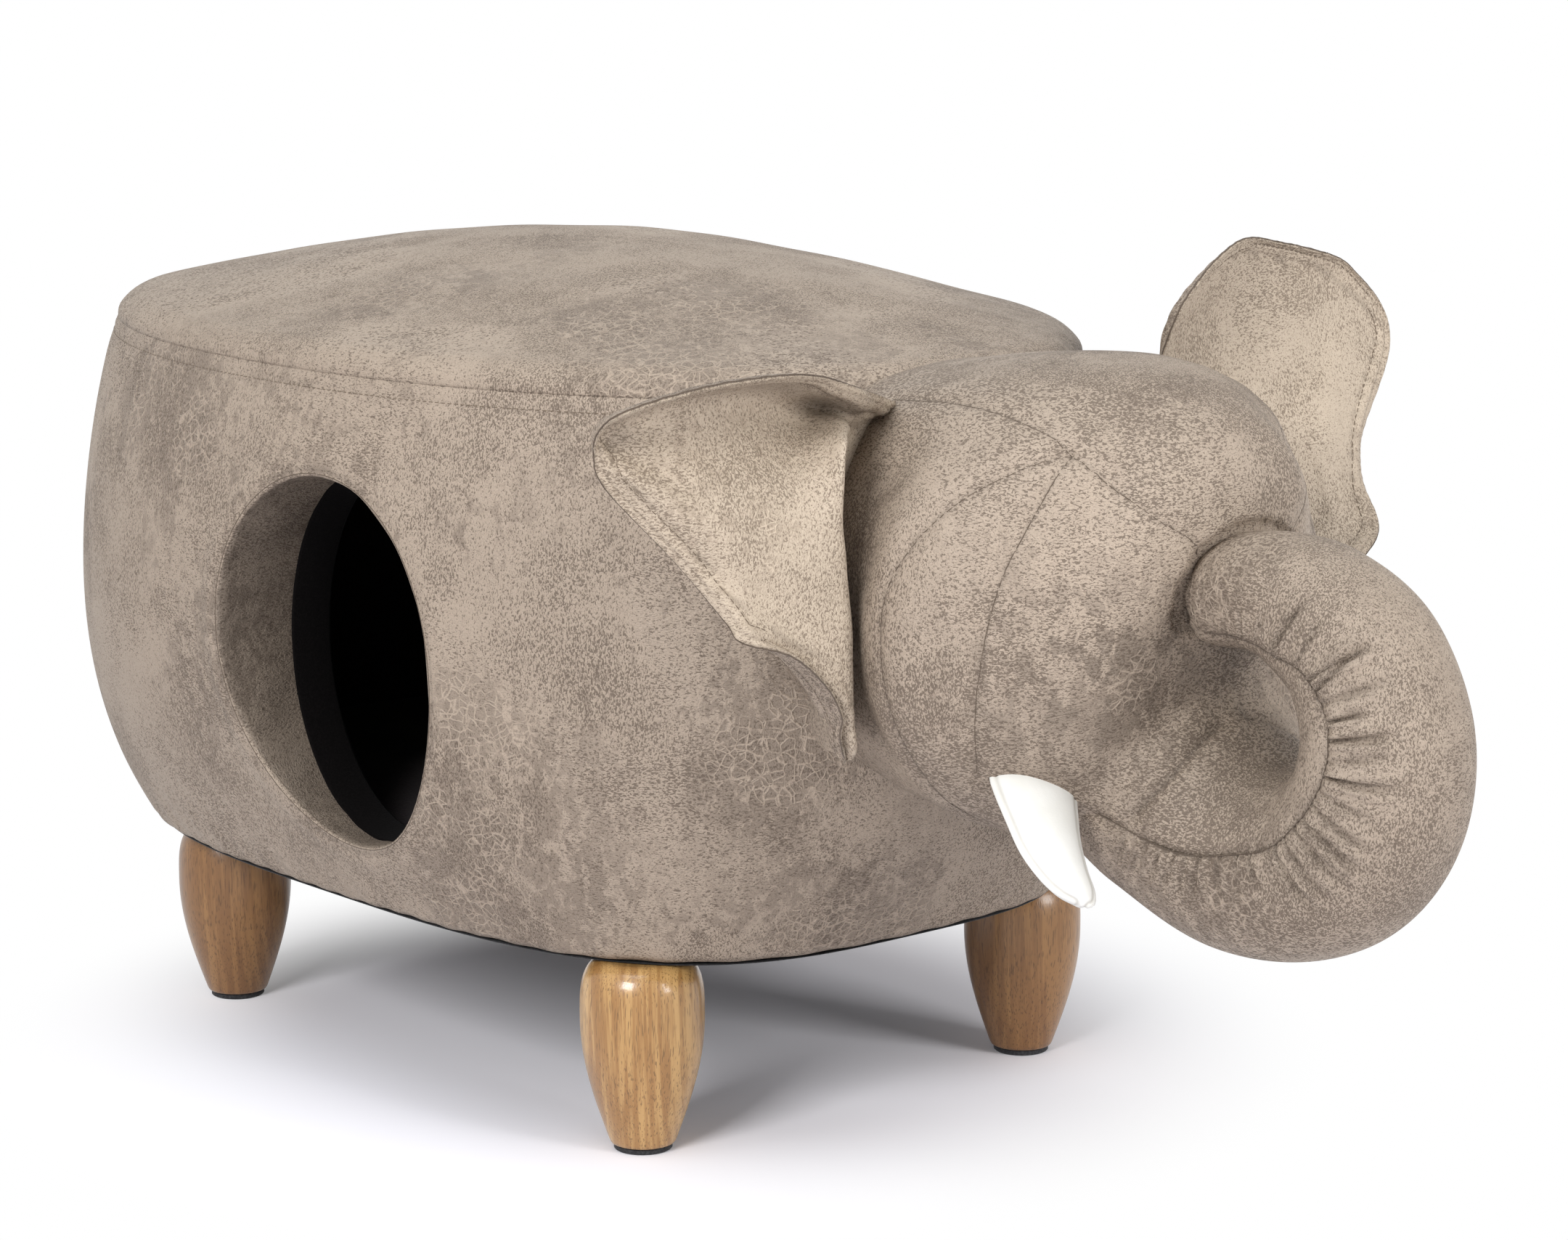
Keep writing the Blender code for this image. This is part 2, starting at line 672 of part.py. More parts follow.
# Frame walls, padding and covers
QUARTER = AROUND // 4
PANELS = {
    "left": (-SIDE_PANEL_STATIONS, SIDE_PANEL_STATIONS),
    "rear": (SIDE_PANEL_STATIONS, 2 * QUARTER - SIDE_PANEL_STATIONS),
    "right": (2 * QUARTER - SIDE_PANEL_STATIONS, 2 * QUARTER + SIDE_PANEL_STATIONS),
    "front": (2 * QUARTER + SIDE_PANEL_STATIONS, 4 * QUARTER - SIDE_PANEL_STATIONS),
}
wall_low = FLOOR_Z + CLEARANCE
wall_high = SEAT_UNDER_Z - CLEARANCE
pad_levels = levels_between(PAD_LOW_Z, SEAT_TOP_Z)
for side, (first, last) in PANELS.items():
    turns = turns_between(first, last)
    outer = [[frame_point(t, z, WALL_SETBACK) for z in (wall_low, wall_high)] for t in turns]
    inner = [[frame_point(t, z, WALL_INNER_INSET) for z in (wall_low, wall_high)] for t in turns]
    wall = add_part(f"{side}_wall", "pine_board", mesh_from(f"{side}_wall", *band(outer, inner, False)))
    outer = [[side_point(t, z, PADDING_INSET) for z in pad_levels] for t in turns]
    inner = [[frame_point(t, z, WALL_SETBACK - CLEARANCE) for z in pad_levels] for t in turns]
    pad = add_part(f"{side}_pad", "foam", mesh_from(f"{side}_pad", *band(outer, inner, False)))
    if side == "right":
        cut(wall, wall_hole)
        cut(pad, sleeve_hole)

cover_outer = []
cover_inner = []
for turn in ALL_TURNS:
    hem_top = BASE_Z + LEATHER
    top = SEAM_Z - CLEARANCE
    levels = levels_between(hem_top, top)
    cover_outer.append(
        [side_point(turn, BASE_Z, HEM_WIDTH), side_point(turn, BASE_Z, 0)]
        + [side_point(turn, z, 0) for z in levels]
    )
    cover_inner.append(
        [side_point(turn, hem_top, HEM_WIDTH), side_point(turn, hem_top, LEATHER + CLEARANCE / 2)]
        + [side_point(turn, z, LEATHER) for z in [hem_top + CLEARANCE / 2] + levels[1:]]
    )
side_cover = add_part(
    "side_cover", "taupe_leather", mesh_from("side_cover", *band(cover_outer, cover_inner, True))
)
cut(side_cover, sleeve_hole)

crown_rings = [[crown_point(turn, share, 0) for turn in ALL_TURNS] for share in (1,) + CROWN_SHARES]
crown_points = [point for ring in crown_rings for point in ring] + [crown_point(0, 0, 0)]
crown_faces = []
for ring in range(len(crown_rings) - 1):
    for index in range(AROUND):
        after = (index + 1) % AROUND
        low = ring * AROUND
        crown_faces.append((low + index, low + after, low + AROUND + after))
        crown_faces.append((low + index, low + AROUND + after, low + AROUND + index))
for index in range(AROUND):
    low = (len(crown_rings) - 1) * AROUND
    crown_faces.append((low + index, low + (index + 1) % AROUND, len(crown_points) - 1))
under_points = grown(crown_points, crown_faces, -LEATHER)
under_points[:AROUND] = [side_point(turn, SEAM_Z, LEATHER) for turn in ALL_TURNS]
shift = len(crown_points)
sheet_faces = crown_faces + [tuple(shift + index for index in face[::-1]) for face in crown_faces]
for index in range(AROUND):
    after = (index + 1) % AROUND
    sheet_faces.append((index, shift + index, shift + after, after))
top_cover_mesh = mesh_from("top_cover", crown_points + under_points, sheet_faces)
add_part("top_cover", "taupe_leather", top_cover_mesh)

foam_points = grown(crown_points, crown_faces, -PADDING_INSET - CLEARANCE)
foam_rings = [
    [side_point(turn, z, PADDING_INSET) for turn in ALL_TURNS]
    for z in levels_between(SEAT_TOP_Z + CLEARANCE, SEAM_Z)
]
for ring in range(1, len(crown_rings)):
    foam_rings.append(foam_points[ring * AROUND : (ring + 1) * AROUND])
add_part("seat_foam", "foam", mesh_from("seat_foam", *stack(foam_rings)))


# Cabin lining and the loose mat
lining_low = FLOOR_Z + CLEARANCE
lining_high = SEAT_UNDER_Z - CLEARANCE
lining_rings = [
    [frame_point(turn, z, WALL_INNER_INSET + CLEARANCE) for turn in ALL_TURNS]
    for z in (lining_low, lining_high)
]
lining_points, lining_faces = stack(lining_rings)
inner_rings = [
    [frame_point(turn, z, WALL_INNER_INSET + CLEARANCE + LINING) for turn in ALL_TURNS]
    for z in (lining_low + LINING, lining_high - LINING)
]
inner_points, inner_faces = stack(inner_rings)
shift = len(lining_points)
inner_faces = [tuple(shift + index for index in reversed(face)) for face in inner_faces]
lining = add_part(
    "cabin_lining",
    "black_cloth",
    mesh_from("cabin_lining", lining_points + inner_points, lining_faces + inner_faces),
)
cut(lining, wall_hole)

mat_inset = WALL_INNER_INSET + LINING + MAT_MARGIN
mat_low = lining_low + LINING + CLEARANCE
mat_profile = (
    (mat_inset + MAT_ROLL / 2, mat_low),
    (mat_inset, mat_low + MAT_THICKNESS / 3),
    (mat_inset, mat_low + MAT_THICKNESS * 2 / 3),
    (mat_inset + MAT_ROLL, mat_low + MAT_THICKNESS),
    (mat_inset + BASE_HALF_WIDTH / 2, mat_low + MAT_THICKNESS + MAT_CROWN),
)
mat_rings = [[frame_point(turn, z, inset) for turn in ALL_TURNS] for inset, z in mat_profile]
add_part("pet_mat", "black_cloth", mesh_from("pet_mat", *stack(mat_rings)))


# Forms of the body, head and trunk that the softer pieces are cut by


def with_body(points):
    """Points of the head end, moved with the body's front and base from where they were drawn."""
    return [point + HEAD_SHIFT for point in points]


def head_form(around):
    rings = []
    for y, width, top, under, squareness in smooth_path(HEAD_STATIONS, HEAD_BETWEEN):
        ring = []
        for index in range(around):
            across, up = rounded_unit(2 * math.pi * index / around, squareness)
            middle = (top + under) / 2
            ring.append(Vector((width * across, y, middle + (top - under) / 2 * up)))
        rings.append(ring)
    points, faces = stack(rings)
    points[-1] = Vector((0, BROW_Y, BROW_Z))
    return with_body(points), faces


def trunk_form():
    path = smooth_path(TRUNK_STATIONS, TRUNK_BETWEEN)
    last = path[-1]
    for along, size in TRUNK_TIP_SHARES:
        y = last[0] + (TRUNK_TIP[0] - last[0]) * along
        z = last[1] + (TRUNK_TIP[1] - last[1]) * along
        path.append(Vector((y, z, last[2] * size, last[3] * size)))
    rings = []
    for index, (y, z, thickness, width) in enumerate(path):
        before = path[max(index - 1, 0)]
        after = path[min(index + 1, len(path) - 1)]
        along = Vector((0, after[0] - before[0], after[1] - before[1])).normalized()
        outward = Vector((0, along.z, -along.y))
        centre = Vector((0, y, z))
        ring = []
        for step in range(TRUNK_AROUND):
            across, out = rounded_unit(2 * math.pi * step / TRUNK_AROUND, TRUNK_SQUARENESS)
            ring.append(centre + Vector((width * across, 0, 0)) + outward * thickness * out)
        rings.append(ring)
    points, faces = stack(rings)
    points[-1] = Vector((0, *TRUNK_TIP))
    return with_body(points), faces


body_rings = [[side_point(turn, z, 0) for turn in ALL_TURNS] for z in SIDE_LEVELS]
body_rings += crown_rings[1:]
body_points, body_faces = stack(body_rings)
body_cut = add_cutter(
    "body_form", mesh_from("body_form", grown(body_points, body_faces, CLEARANCE), body_faces)
)
head_points, head_faces = head_form(HEAD_AROUND)
head_cut = add_cutter(
    "head_form", mesh_from("head_form", grown(head_points, head_faces, CLEARANCE), head_faces)
)
trunk_points, trunk_faces = trunk_form()
trunk_cut = add_cutter(
    "trunk_form", mesh_from("trunk_form", grown(trunk_points, trunk_faces, CLEARANCE), trunk_faces)
)


def stuffed(name, points, faces, filling_points, filling_faces, cutter):
    """Leather cover and the filling inside it, both cut where they meet the piece behind."""
    cover_mesh = mesh_from(f"{name}_cover", *hollow(points, faces, LEATHER))
    cover = add_part(f"{name}_cover", "taupe_leather", cover_mesh)
    inner = grown(filling_points, filling_faces, -PADDING_INSET)
    filling = add_part(f"{name}_stuffing", "fibre", mesh_from(f"{name}_stuffing", inner, filling_faces))
    for part in (cover, filling):
        cut(part, cutter)


stuffed("head", head_points, head_faces, *head_form(STUFFING_AROUND), body_cut)
stuffed("trunk", trunk_points, trunk_faces, trunk_points, trunk_faces, head_cut)


# Ears and tusks


def ear_surface(rim, side):
    """Grid from the root, on the head's side, to the rim, cupped forward between them."""
    root_top = Vector(EAR_ROOT_TOP)
    root_bottom = Vector(EAR_ROOT_BOTTOM)
    rows = []
    for index, rim_point in enumerate(rim):
        share = index / (len(rim) - 1)
        fold = EAR_CUP * (1 - abs(1 - 2 * share) ** EAR_FOLD_POWER)
        root = root_top.lerp(root_bottom, share)
        root.x += EAR_ROOT_BULGE * abs(math.sin(math.pi * share)) ** EAR_ROOT_POWER
        row = []
        for out in EAR_SHARES:
            point = root.lerp(Vector(rim_point), out)
            point.y -= fold * math.sin(math.pi * out**EAR_CUP_POWER)
            point.x *= side
            row.append(point)
        rows.append(row)
    points = with_body([point for row in rows for point in row])
    faces = []
    wide = len(EAR_SHARES)
    for row in range(len(rows) - 1):
        for step in range(wide - 1):
            a = row * wide + step
            for face in ((a, a + wide, a + wide + 1), (a, a + wide + 1, a + 1)):
                faces.append(face if side > 0 else face[::-1])
    return points, faces


def add_ear(place, rim, side):
    points, faces = ear_surface(rim, side)
    for layer, finish, direction in (("front", "pale_leather", 1), ("back", "taupe_leather", -1)):
        moved = grown(points, faces, direction * CLEARANCE)
        name = f"{place}_ear_{layer}"
        panel = add_part(name, finish, mesh_from(name, moved, faces))
        sheet = panel.modifiers.new("thickness", "SOLIDIFY")
        sheet.thickness = EAR_PANEL
        sheet.offset = direction
        cut(panel, head_cut)


add_ear("left", LEFT_EAR_RIM, 1)
add_ear("right", RIGHT_EAR_RIM, -1)


def add_tusk(place, side):
    wide_axis = Vector(TUSK_WIDE_AXIS).normalized()
    rings = []
    for index, (x, y, z, width, thickness) in enumerate(TUSK_STATIONS):
        before = Vector(TUSK_STATIONS[max(index - 1, 0)][:3])
        after = Vector(TUSK_STATIONS[min(index + 1, len(TUSK_STATIONS) - 1)][:3])
        thick_axis = wide_axis.cross(after - before).normalized()
        ring = []
        for step in range(TUSK_AROUND):
            wide, thick = rounded_unit(2 * math.pi * step / TUSK_AROUND, 2)
            point = Vector((x, y, z)) + wide_axis * width * wide + thick_axis * thickness * thick
            point.x *= side
            ring.append(point)
        rings.append(with_body(ring))
    name = f"{place}_tusk"
    tusk = add_part(name, "white_vinyl", mesh_from(name, *stack(rings)))
    cut(tusk, head_cut)
    cut(tusk, trunk_cut)


add_tusk("left", 1)
add_tusk("right", -1)


# The whole stool is moved so that its length is centred on the origin
bpy.context.view_layer.update()
graph = bpy.context.evaluated_depsgraph_get()
reach = []
for part in PARTS.objects:
    if part.type == "MESH":
        made = part.evaluated_get(graph).to_mesh()
        reach += [part.location.y + vertex.co.y for vertex in made.vertices]
STOOL.location.y = -(min(reach) + max(reach)) / 2
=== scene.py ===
"""Looks of the elephant footstool: leather covers, stuffed head and trunk, ears, tusks, legs and cabin.

Places are metres in the stool's own frame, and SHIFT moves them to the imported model's frame.
"""

import json
import math

import bpy
import numpy as np
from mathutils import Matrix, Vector
from mathutils.bvhtree import BVHTree


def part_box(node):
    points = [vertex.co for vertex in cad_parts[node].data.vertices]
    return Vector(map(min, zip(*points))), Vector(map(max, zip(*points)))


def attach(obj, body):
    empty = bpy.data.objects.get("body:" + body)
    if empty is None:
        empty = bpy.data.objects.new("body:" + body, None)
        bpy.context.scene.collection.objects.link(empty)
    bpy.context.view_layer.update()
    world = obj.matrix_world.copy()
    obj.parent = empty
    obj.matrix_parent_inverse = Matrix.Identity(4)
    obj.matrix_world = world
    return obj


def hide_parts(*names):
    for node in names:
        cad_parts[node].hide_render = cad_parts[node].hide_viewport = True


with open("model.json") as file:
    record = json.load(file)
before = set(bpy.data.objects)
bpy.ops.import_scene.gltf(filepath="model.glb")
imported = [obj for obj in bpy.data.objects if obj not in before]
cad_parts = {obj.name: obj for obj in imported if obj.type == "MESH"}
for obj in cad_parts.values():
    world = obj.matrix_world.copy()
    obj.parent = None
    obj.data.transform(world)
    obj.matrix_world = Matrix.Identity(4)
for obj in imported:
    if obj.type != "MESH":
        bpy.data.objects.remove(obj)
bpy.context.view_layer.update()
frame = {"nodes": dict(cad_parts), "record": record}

front_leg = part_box("leg_front_left")
rear_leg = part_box("leg_rear_left")
SHIFT = np.array([0, (front_leg[0].y + front_leg[1].y + rear_leg[0].y + rear_leg[1].y) / 4, 0])
FULL_TURN = 2 * math.pi

# Camera at the photograph's viewing angle
IMAGE_WIDTH = 2160
FOCAL_PIXELS = 5848.8
SENSOR_WIDTH = 36
CAMERA_AZIMUTH = math.radians(-40.556)
CAMERA_ELEVATION = math.radians(11.015)
CAMERA_DISTANCE = 2.288
CAMERA_TARGET = (0.0681, -0.0584, 0.2236)

# Levels shared with the solids
BASE_Z = 0.0993
SEAM_Z = 0.379
BELLY_SHARE = 0.1387 / 0.2797
FLOOR_Z = 0.1162
CEILING_Z = 0.355
LEG_BOTTOM_Z = 0.0033
# Outlines shared with the solids: half length, half width, squareness, middle along the stool
BODY_MIDDLE_Y = 0.028
BASE_OUTLINE = (0.266, 0.180, 3.2, 0.022)
BELLY_OUTLINE = (0.326, 0.232, 2.22, BODY_MIDDLE_Y)
SEAM_OUTLINE = (0.306, 0.2105, 2.15, BODY_MIDDLE_Y)
EDGE_ROLL_HEIGHT = 0.011
EDGE_ROLL_WIDTH = 0.012
CROWN_HEIGHT = 0.043
CROWN_POWER = 1.6
WALL_SETBACK = 0.006
WALL_THICKNESS = 0.010
# Entrance on the right side: middle along the stool, middle height, half length, half height
ENTRANCE = (-0.042, 0.2345, 0.0775, 0.0955)
LEATHER = 0.0016


# Mesh helpers


def values_of(obj, name):
    flat = np.empty(len(obj.data.vertices) * 3)
    obj.data.vertices.foreach_get(name, flat)
    return flat.reshape(-1, 3)


def points_of(obj):
    return values_of(obj, "co")


def normals_of(obj):
    return values_of(obj, "normal")


def set_points(obj, points):
    obj.data.vertices.foreach_set("co", np.asarray(points, float).ravel())
    obj.data.update()


def through(around, t):
    """Point at share t between the middle two of four points, on a smooth curve through them."""
    before, start, end, after = around
    return 0.5 * (
        2 * start
        + (end - before) * t
        + (2 * before - 5 * start + 4 * end - after) * t**2
        + (3 * start - before - 3 * end + after) * t**3
    )


def smooth_at(stations, place):
    """Values on a smooth curve through the stations, at places counted in stations."""
    stations = np.asarray(stations, float)
    last = len(stations) - 1
    place = np.clip(place, 0, last)
    index = np.minimum(place.astype(int), last - 1)
    around = [stations[np.clip(index + step, 0, last)] for step in (-1, 0, 1, 2)]
    return through(around, (place - index)[..., None])


def run_lengths(line):
    """Length from the start of a line to each of its points."""
    return np.concatenate([[0], np.cumsum(np.linalg.norm(np.diff(line, axis=0), axis=1))])


def resampled(line, spacing):
    """Evenly spaced points on a smooth curve through the given ones."""
    line = np.asarray(line, float)
    dense = smooth_at(line, np.linspace(0, len(line) - 1, 40 * len(line)))
    lengths = run_lengths(dense)
    places = np.linspace(0, lengths[-1], max(int(lengths[-1] / spacing), 2) + 1)
    return np.stack([np.interp(places, lengths, dense[:, axis]) for axis in range(3)], axis=1)


def distance_to(points, line):
    nearest = np.full(len(points), np.inf)
    for place in line:
        nearest = np.minimum(nearest, ((points - place) ** 2).sum(1))
    return np.sqrt(nearest)


def bump(value):
    """1 at zero, falling smoothly to nothing by about 2."""
    return np.exp(-(value**2))


def ramp(value, low, high):
    """Smooth step from 0 at low to 1 at high."""
    t = np.clip((value - low) / (high - low), 0, 1)
    return t * t * (3 - 2 * t)


def nearness(points, middle, reach):
    """1 at a middle, falling to nothing by about twice a reach, which may differ by axis."""
    return bump(np.linalg.norm((points - middle) / reach, axis=1))


def waves(points, size, seed):
    """Smooth, even unevenness from -1 to 1 with humps about the given size across."""
    made = np.random.default_rng(seed)
    total = np.zeros(len(points))
    for _ in range(9):
        direction = made.normal(size=3)
        direction /= np.linalg.norm(direction)
        stretch = made.uniform(0.75, 1.4)
        phase = made.uniform(0, 2 * math.pi)
        total += np.sin(points @ direction * math.pi * stretch / size + phase)
    return total / 4.5


def even_turns(count):
    return FULL_TURN * np.arange(count) / count


def add_mesh(name, points, faces):
    mesh = bpy.data.meshes.new(name)
    mesh.from_pydata(np.asarray(points, float).tolist(), [], [tuple(face) for face in faces])
    obj = bpy.data.objects.new(name, mesh)
    bpy.context.scene.collection.objects.link(obj)
    return obj


def band(low, high):
    """Faces between two closed loops of point numbers."""
    after = [*range(1, len(low)), 0]
    return [(low[a], low[b], high[b], high[a]) for a, b in enumerate(after)]


def tube_faces(start, count, total, ends="open"):
    """Faces through rings of numbered points, with the ends open, capped or joined to each other."""
    rings = [tuple(range(start + ring * count, start + (ring + 1) * count)) for ring in range(total)]
    faces = []
    for low, high in zip(rings, rings[1:]):
        faces += band(low, high)
    if ends == "joined":
        faces += band(rings[-1], rings[0])
    if ends == "capped":
        faces += [rings[0][::-1], rings[-1]]
    return faces


def only(obj):
    bpy.ops.object.select_all(action="DESELECT")
    obj.select_set(True)
    bpy.context.view_layer.objects.active = obj


def welded(obj, threshold=0.00001):
    """Merge meeting points and turn every face outwards."""
    only(obj)
    bpy.ops.object.mode_set(mode="EDIT")
    bpy.ops.mesh.select_all(action="SELECT")
    bpy.ops.mesh.remove_doubles(threshold=threshold)
    bpy.ops.mesh.normals_make_consistent(inside=False)
    bpy.ops.object.mode_set(mode="OBJECT")
    return obj


def laid_grid(name, columns, rows, surface):
    """A grid primitive laid on a surface given as points of (u, v), with its meeting edges welded."""
    bpy.ops.object.select_all(action="DESELECT")
    bpy.ops.mesh.primitive_grid_add(x_subdivisions=columns, y_subdivisions=rows, size=2)
    obj = bpy.context.object
    obj.name = name
    flat = points_of(obj)
    set_points(obj, surface((flat[:, 0] + 1) / 2, (flat[:, 1] + 1) / 2))
    return welded(obj)


def thickened(obj, thickness):
    """Give a piece a thickness, inwards from its surface."""
    only(obj)
    sheet = obj.modifiers.new("thickness", "SOLIDIFY")
    sheet.thickness = thickness
    bpy.ops.object.modifier_apply(modifier=sheet.name)


def turned_towards(obj, directions):
    """Flip the faces if they look away from the directions on the whole, and give the normals."""
    normals = normals_of(obj)
    if (normals * directions).sum(1).mean() < 0:
        obj.data.flip_normals()
        normals = -normals
    return normals


def relaxed(obj, weights, rounds, share=0.5):
    """Points moved towards the middle of their neighbours, each by its weight."""
    points = points_of(obj)
    edges = np.empty(len(obj.data.edges) * 2, int)
    obj.data.edges.foreach_get("vertices", edges)
    edges = edges.reshape(-1, 2)
    ends = np.concatenate([edges[:, 0], edges[:, 1]])
    others = np.concatenate([edges[:, 1], edges[:, 0]])
    count = np.maximum(np.bincount(ends, minlength=len(points)), 1)
    weights = share * np.asarray(weights)[:, None]
    for _ in range(rounds):
        sums = [np.bincount(ends, points[others, axis], len(points)) for axis in range(3)]
        points += (np.stack(sums, axis=1) / count[:, None] - points) * weights
    set_points(obj, points)


def tree_of(obj):
    faces = [tuple(face.vertices) for face in obj.data.polygons]
    return BVHTree.FromPolygons([tuple(point) for point in points_of(obj)], faces)


def paint(obj, name, values):
    """A number per point that a material reads by name."""
    attribute = obj.data.attributes.new(name, "FLOAT", "POINT")
    attribute.data.foreach_set("value", np.asarray(values, np.float32))


def raised(obj, points, normals, height):
    """Set a piece's points, each moved along its normal by its height."""
    set_points(obj, points + normals * height[:, None])


def finished(obj, material, replaced=(), smooth_angle=None):
    """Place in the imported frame, shade, dress and tie a piece to the stool."""
    set_points(obj, points_of(obj) + SHIFT)
    obj.data.materials.clear()
    obj.data.materials.append(material)
    only(obj)
    if smooth_angle is None:
        bpy.ops.object.shade_smooth()
    else:
        bpy.ops.object.shade_smooth_by_angle(angle=math.radians(smooth_angle))
    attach(obj, "root")
    if replaced:
        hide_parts(*replaced)
    return obj


# Body surfaces


def side_values(z):
    share = (z - BASE_Z) / (SEAM_Z - BASE_Z)
    middle = BELLY_SHARE
    low = (share - middle) * (share - 1) / middle
    mid = share * (share - 1) / (middle * (middle - 1))
    high = share * (share - middle) / (1 - middle)
    made = []
    for base, belly, seam in zip(BASE_OUTLINE, BELLY_OUTLINE, SEAM_OUTLINE):
        made.append(base * low + belly * mid + seam * high)
    return made


def section(turn, squareness):
    """Cosine, sine and reach of a squarish round section at a turn."""
    cosine, sine = np.cos(turn), np.sin(turn)
    reach = (np.abs(cosine) ** squareness + np.abs(sine) ** squareness) ** (-1 / squareness)
    return cosine, sine, reach


def outline_at(outline, turn, z, inset, scale=1.0):
    length, width, squareness, centre = outline
    cosine, sine, reach = section(turn, squareness)
    x = (width - inset) * scale * reach * cosine
    y = centre + (length - inset) * scale * reach * sine
    return np.stack([x, y, z + 0 * x], axis=-1)


def side_at(turn, z, inset):
    return outline_at(side_values(z), turn, z, inset)


def upright_at(turn, z, inset, scale=1.0):
    return outline_at(BASE_OUTLINE, turn, z, inset, scale)


def turn_at(y, z):
    """Turn of the place on the body's right side at a length and a height."""
    length, _, squareness, centre = side_values(z)
    along = (y - centre) / length
    across = -((1 - np.abs(along) ** squareness) ** (1 / squareness))
    return np.mod(np.arctan2(along, across), FULL_TURN)


def entrance_at(y, z, inset):
    """Point of the body's right side at a length and a height, moved in by an inset."""
    return side_at(turn_at(y, z), z, inset)


def entrance_oval(turn, growth):
    """Length and height of places on the entrance's oval, grown outwards."""
    middle_y, middle_z, half_y, half_z = ENTRANCE
    return middle_y + (half_y + growth) * np.sin(turn), middle_z + (half_z + growth) * np.cos(turn)


def crown_at(turn, share):
    """Point of the seat's top at a turn and a share of the way from its middle to its edge."""
    _, width, _, centre = SEAM_OUTLINE
    x, y, _ = outline_at(SEAM_OUTLINE, turn, 0, 0).T
    edge = np.minimum(1, width * (1 - share) / EDGE_ROLL_WIDTH)
    rise = EDGE_ROLL_HEIGHT * np.sqrt(1 - (1 - edge) ** 2)
    rise = rise + CROWN_HEIGHT * (1 - share**CROWN_POWER)
    return np.stack([x * share, centre + (y - centre) * share, SEAM_Z + rise], axis=-1)


# Node helpers

# Places of the mix node's colours among its inputs and outputs
MIX_FIRST = 6
MIX_SECOND = 7
MIX_RESULT = 2


def add_node(tree, kind, inputs, **settings):
    """Node of a kind, with each input a value or a socket to link."""
    node = tree.nodes.new(kind)
    for label, value in settings.items():
        setattr(node, label, value)
    for label, value in inputs.items():
        if isinstance(value, bpy.types.NodeSocket):
            tree.links.new(value, node.inputs[label])
        else:
            node.inputs[label].default_value = value
    return node


def add_noise(tree, vector, scale, detail=3.0, roughness=0.55, distortion=0.0, output="Fac"):
    shape = {"Scale": scale, "Detail": detail, "Roughness": roughness, "Distortion": distortion}
    return add_node(tree, "ShaderNodeTexNoise", {"Vector": vector, **shape}).outputs[output]


def add_range(tree, value, low, high, out_low=0.0, out_high=1.0):
    """Value mapped smoothly from one range to another and kept inside it."""
    inputs = {"Value": value, "From Min": low, "From Max": high, "To Min": out_low, "To Max": out_high}
    return add_node(tree, "ShaderNodeMapRange", inputs, interpolation_type="SMOOTHSTEP").outputs[0]


def add_math(tree, operation, first, second):
    return add_node(tree, "ShaderNodeMath", {0: first, 1: second}, operation=operation).outputs[0]


def plus(tree, first, second):
    return add_math(tree, "ADD", first, second)


def minus(tree, first, second):
    return add_math(tree, "SUBTRACT", first, second)


def times(tree, first, second):
    return add_math(tree, "MULTIPLY", first, second)


def larger(tree, first, second):
    return add_math(tree, "MAXIMUM", first, second)


def add_mapping(tree, vector, scale, rotation=(0, 0, 0)):
    inputs = {"Vector": vector, "Scale": scale, "Rotation": rotation}
    return add_node(tree, "ShaderNodeMapping", inputs).outputs[0]


def add_mix(tree, factor, first, second):
    """Colour mixed from the first to the second, each a colour or a socket."""
    colours = [(*value, 1) if isinstance(value, tuple) else value for value in (first, second)]
    inputs = {0: factor, MIX_FIRST: colours[0], MIX_SECOND: colours[1]}
    return add_node(tree, "ShaderNodeMix", inputs, data_type="RGBA").outputs[MIX_RESULT]


def add_blend(tree, factor, first, second):
    """Value that runs from one input to the other as the factor goes from 0 to 1."""
    return add_node(tree, "ShaderNodeMix", {0: factor, 2: first, 3: second}).outputs[0]


def add_bump(tree, shader, height, distance, strength=1.0):
    inputs = {"Height": height, "Distance": distance, "Strength": strength}
    node = add_node(tree, "ShaderNodeBump", inputs)
    tree.links.new(node.outputs[0], shader.inputs["Normal"])


def object_place(tree):
    return tree.nodes.new("ShaderNodeTexCoord").outputs["Object"]


def attribute_value(tree, name):
    return add_node(tree, "ShaderNodeAttribute", {}, attribute_name=name).outputs["Fac"]


def scaled(colour, share):
    return tuple(share * value for value in colour)


# Camera, light and floor

AMBIENT = 0.38
FLOOR_COLOUR = (0.90, 0.885, 0.93, 1)
# The floor turns white from here on, measured from under the stool
WHITE_MIDDLE = (0, 0.085, 0)
WHITE_START = 0.18
WHITE_FULL = 0.37
LIGHTS_AIM = (0, 0, 0.25)
# Name, place, size, power, colour
SOFTBOXES = (
    ("key_softbox", (-2.6, -1.0, 1.7), 1.1, 74, (1, 1, 1)),
    ("fill_softbox", (0.7, -3.0, 1.3), 1.2, 60, (1, 1, 1)),
    ("top_softbox", (-0.5, -0.3, 2.8), 2.2, 42, (0.88, 0.94, 1.0)),
)


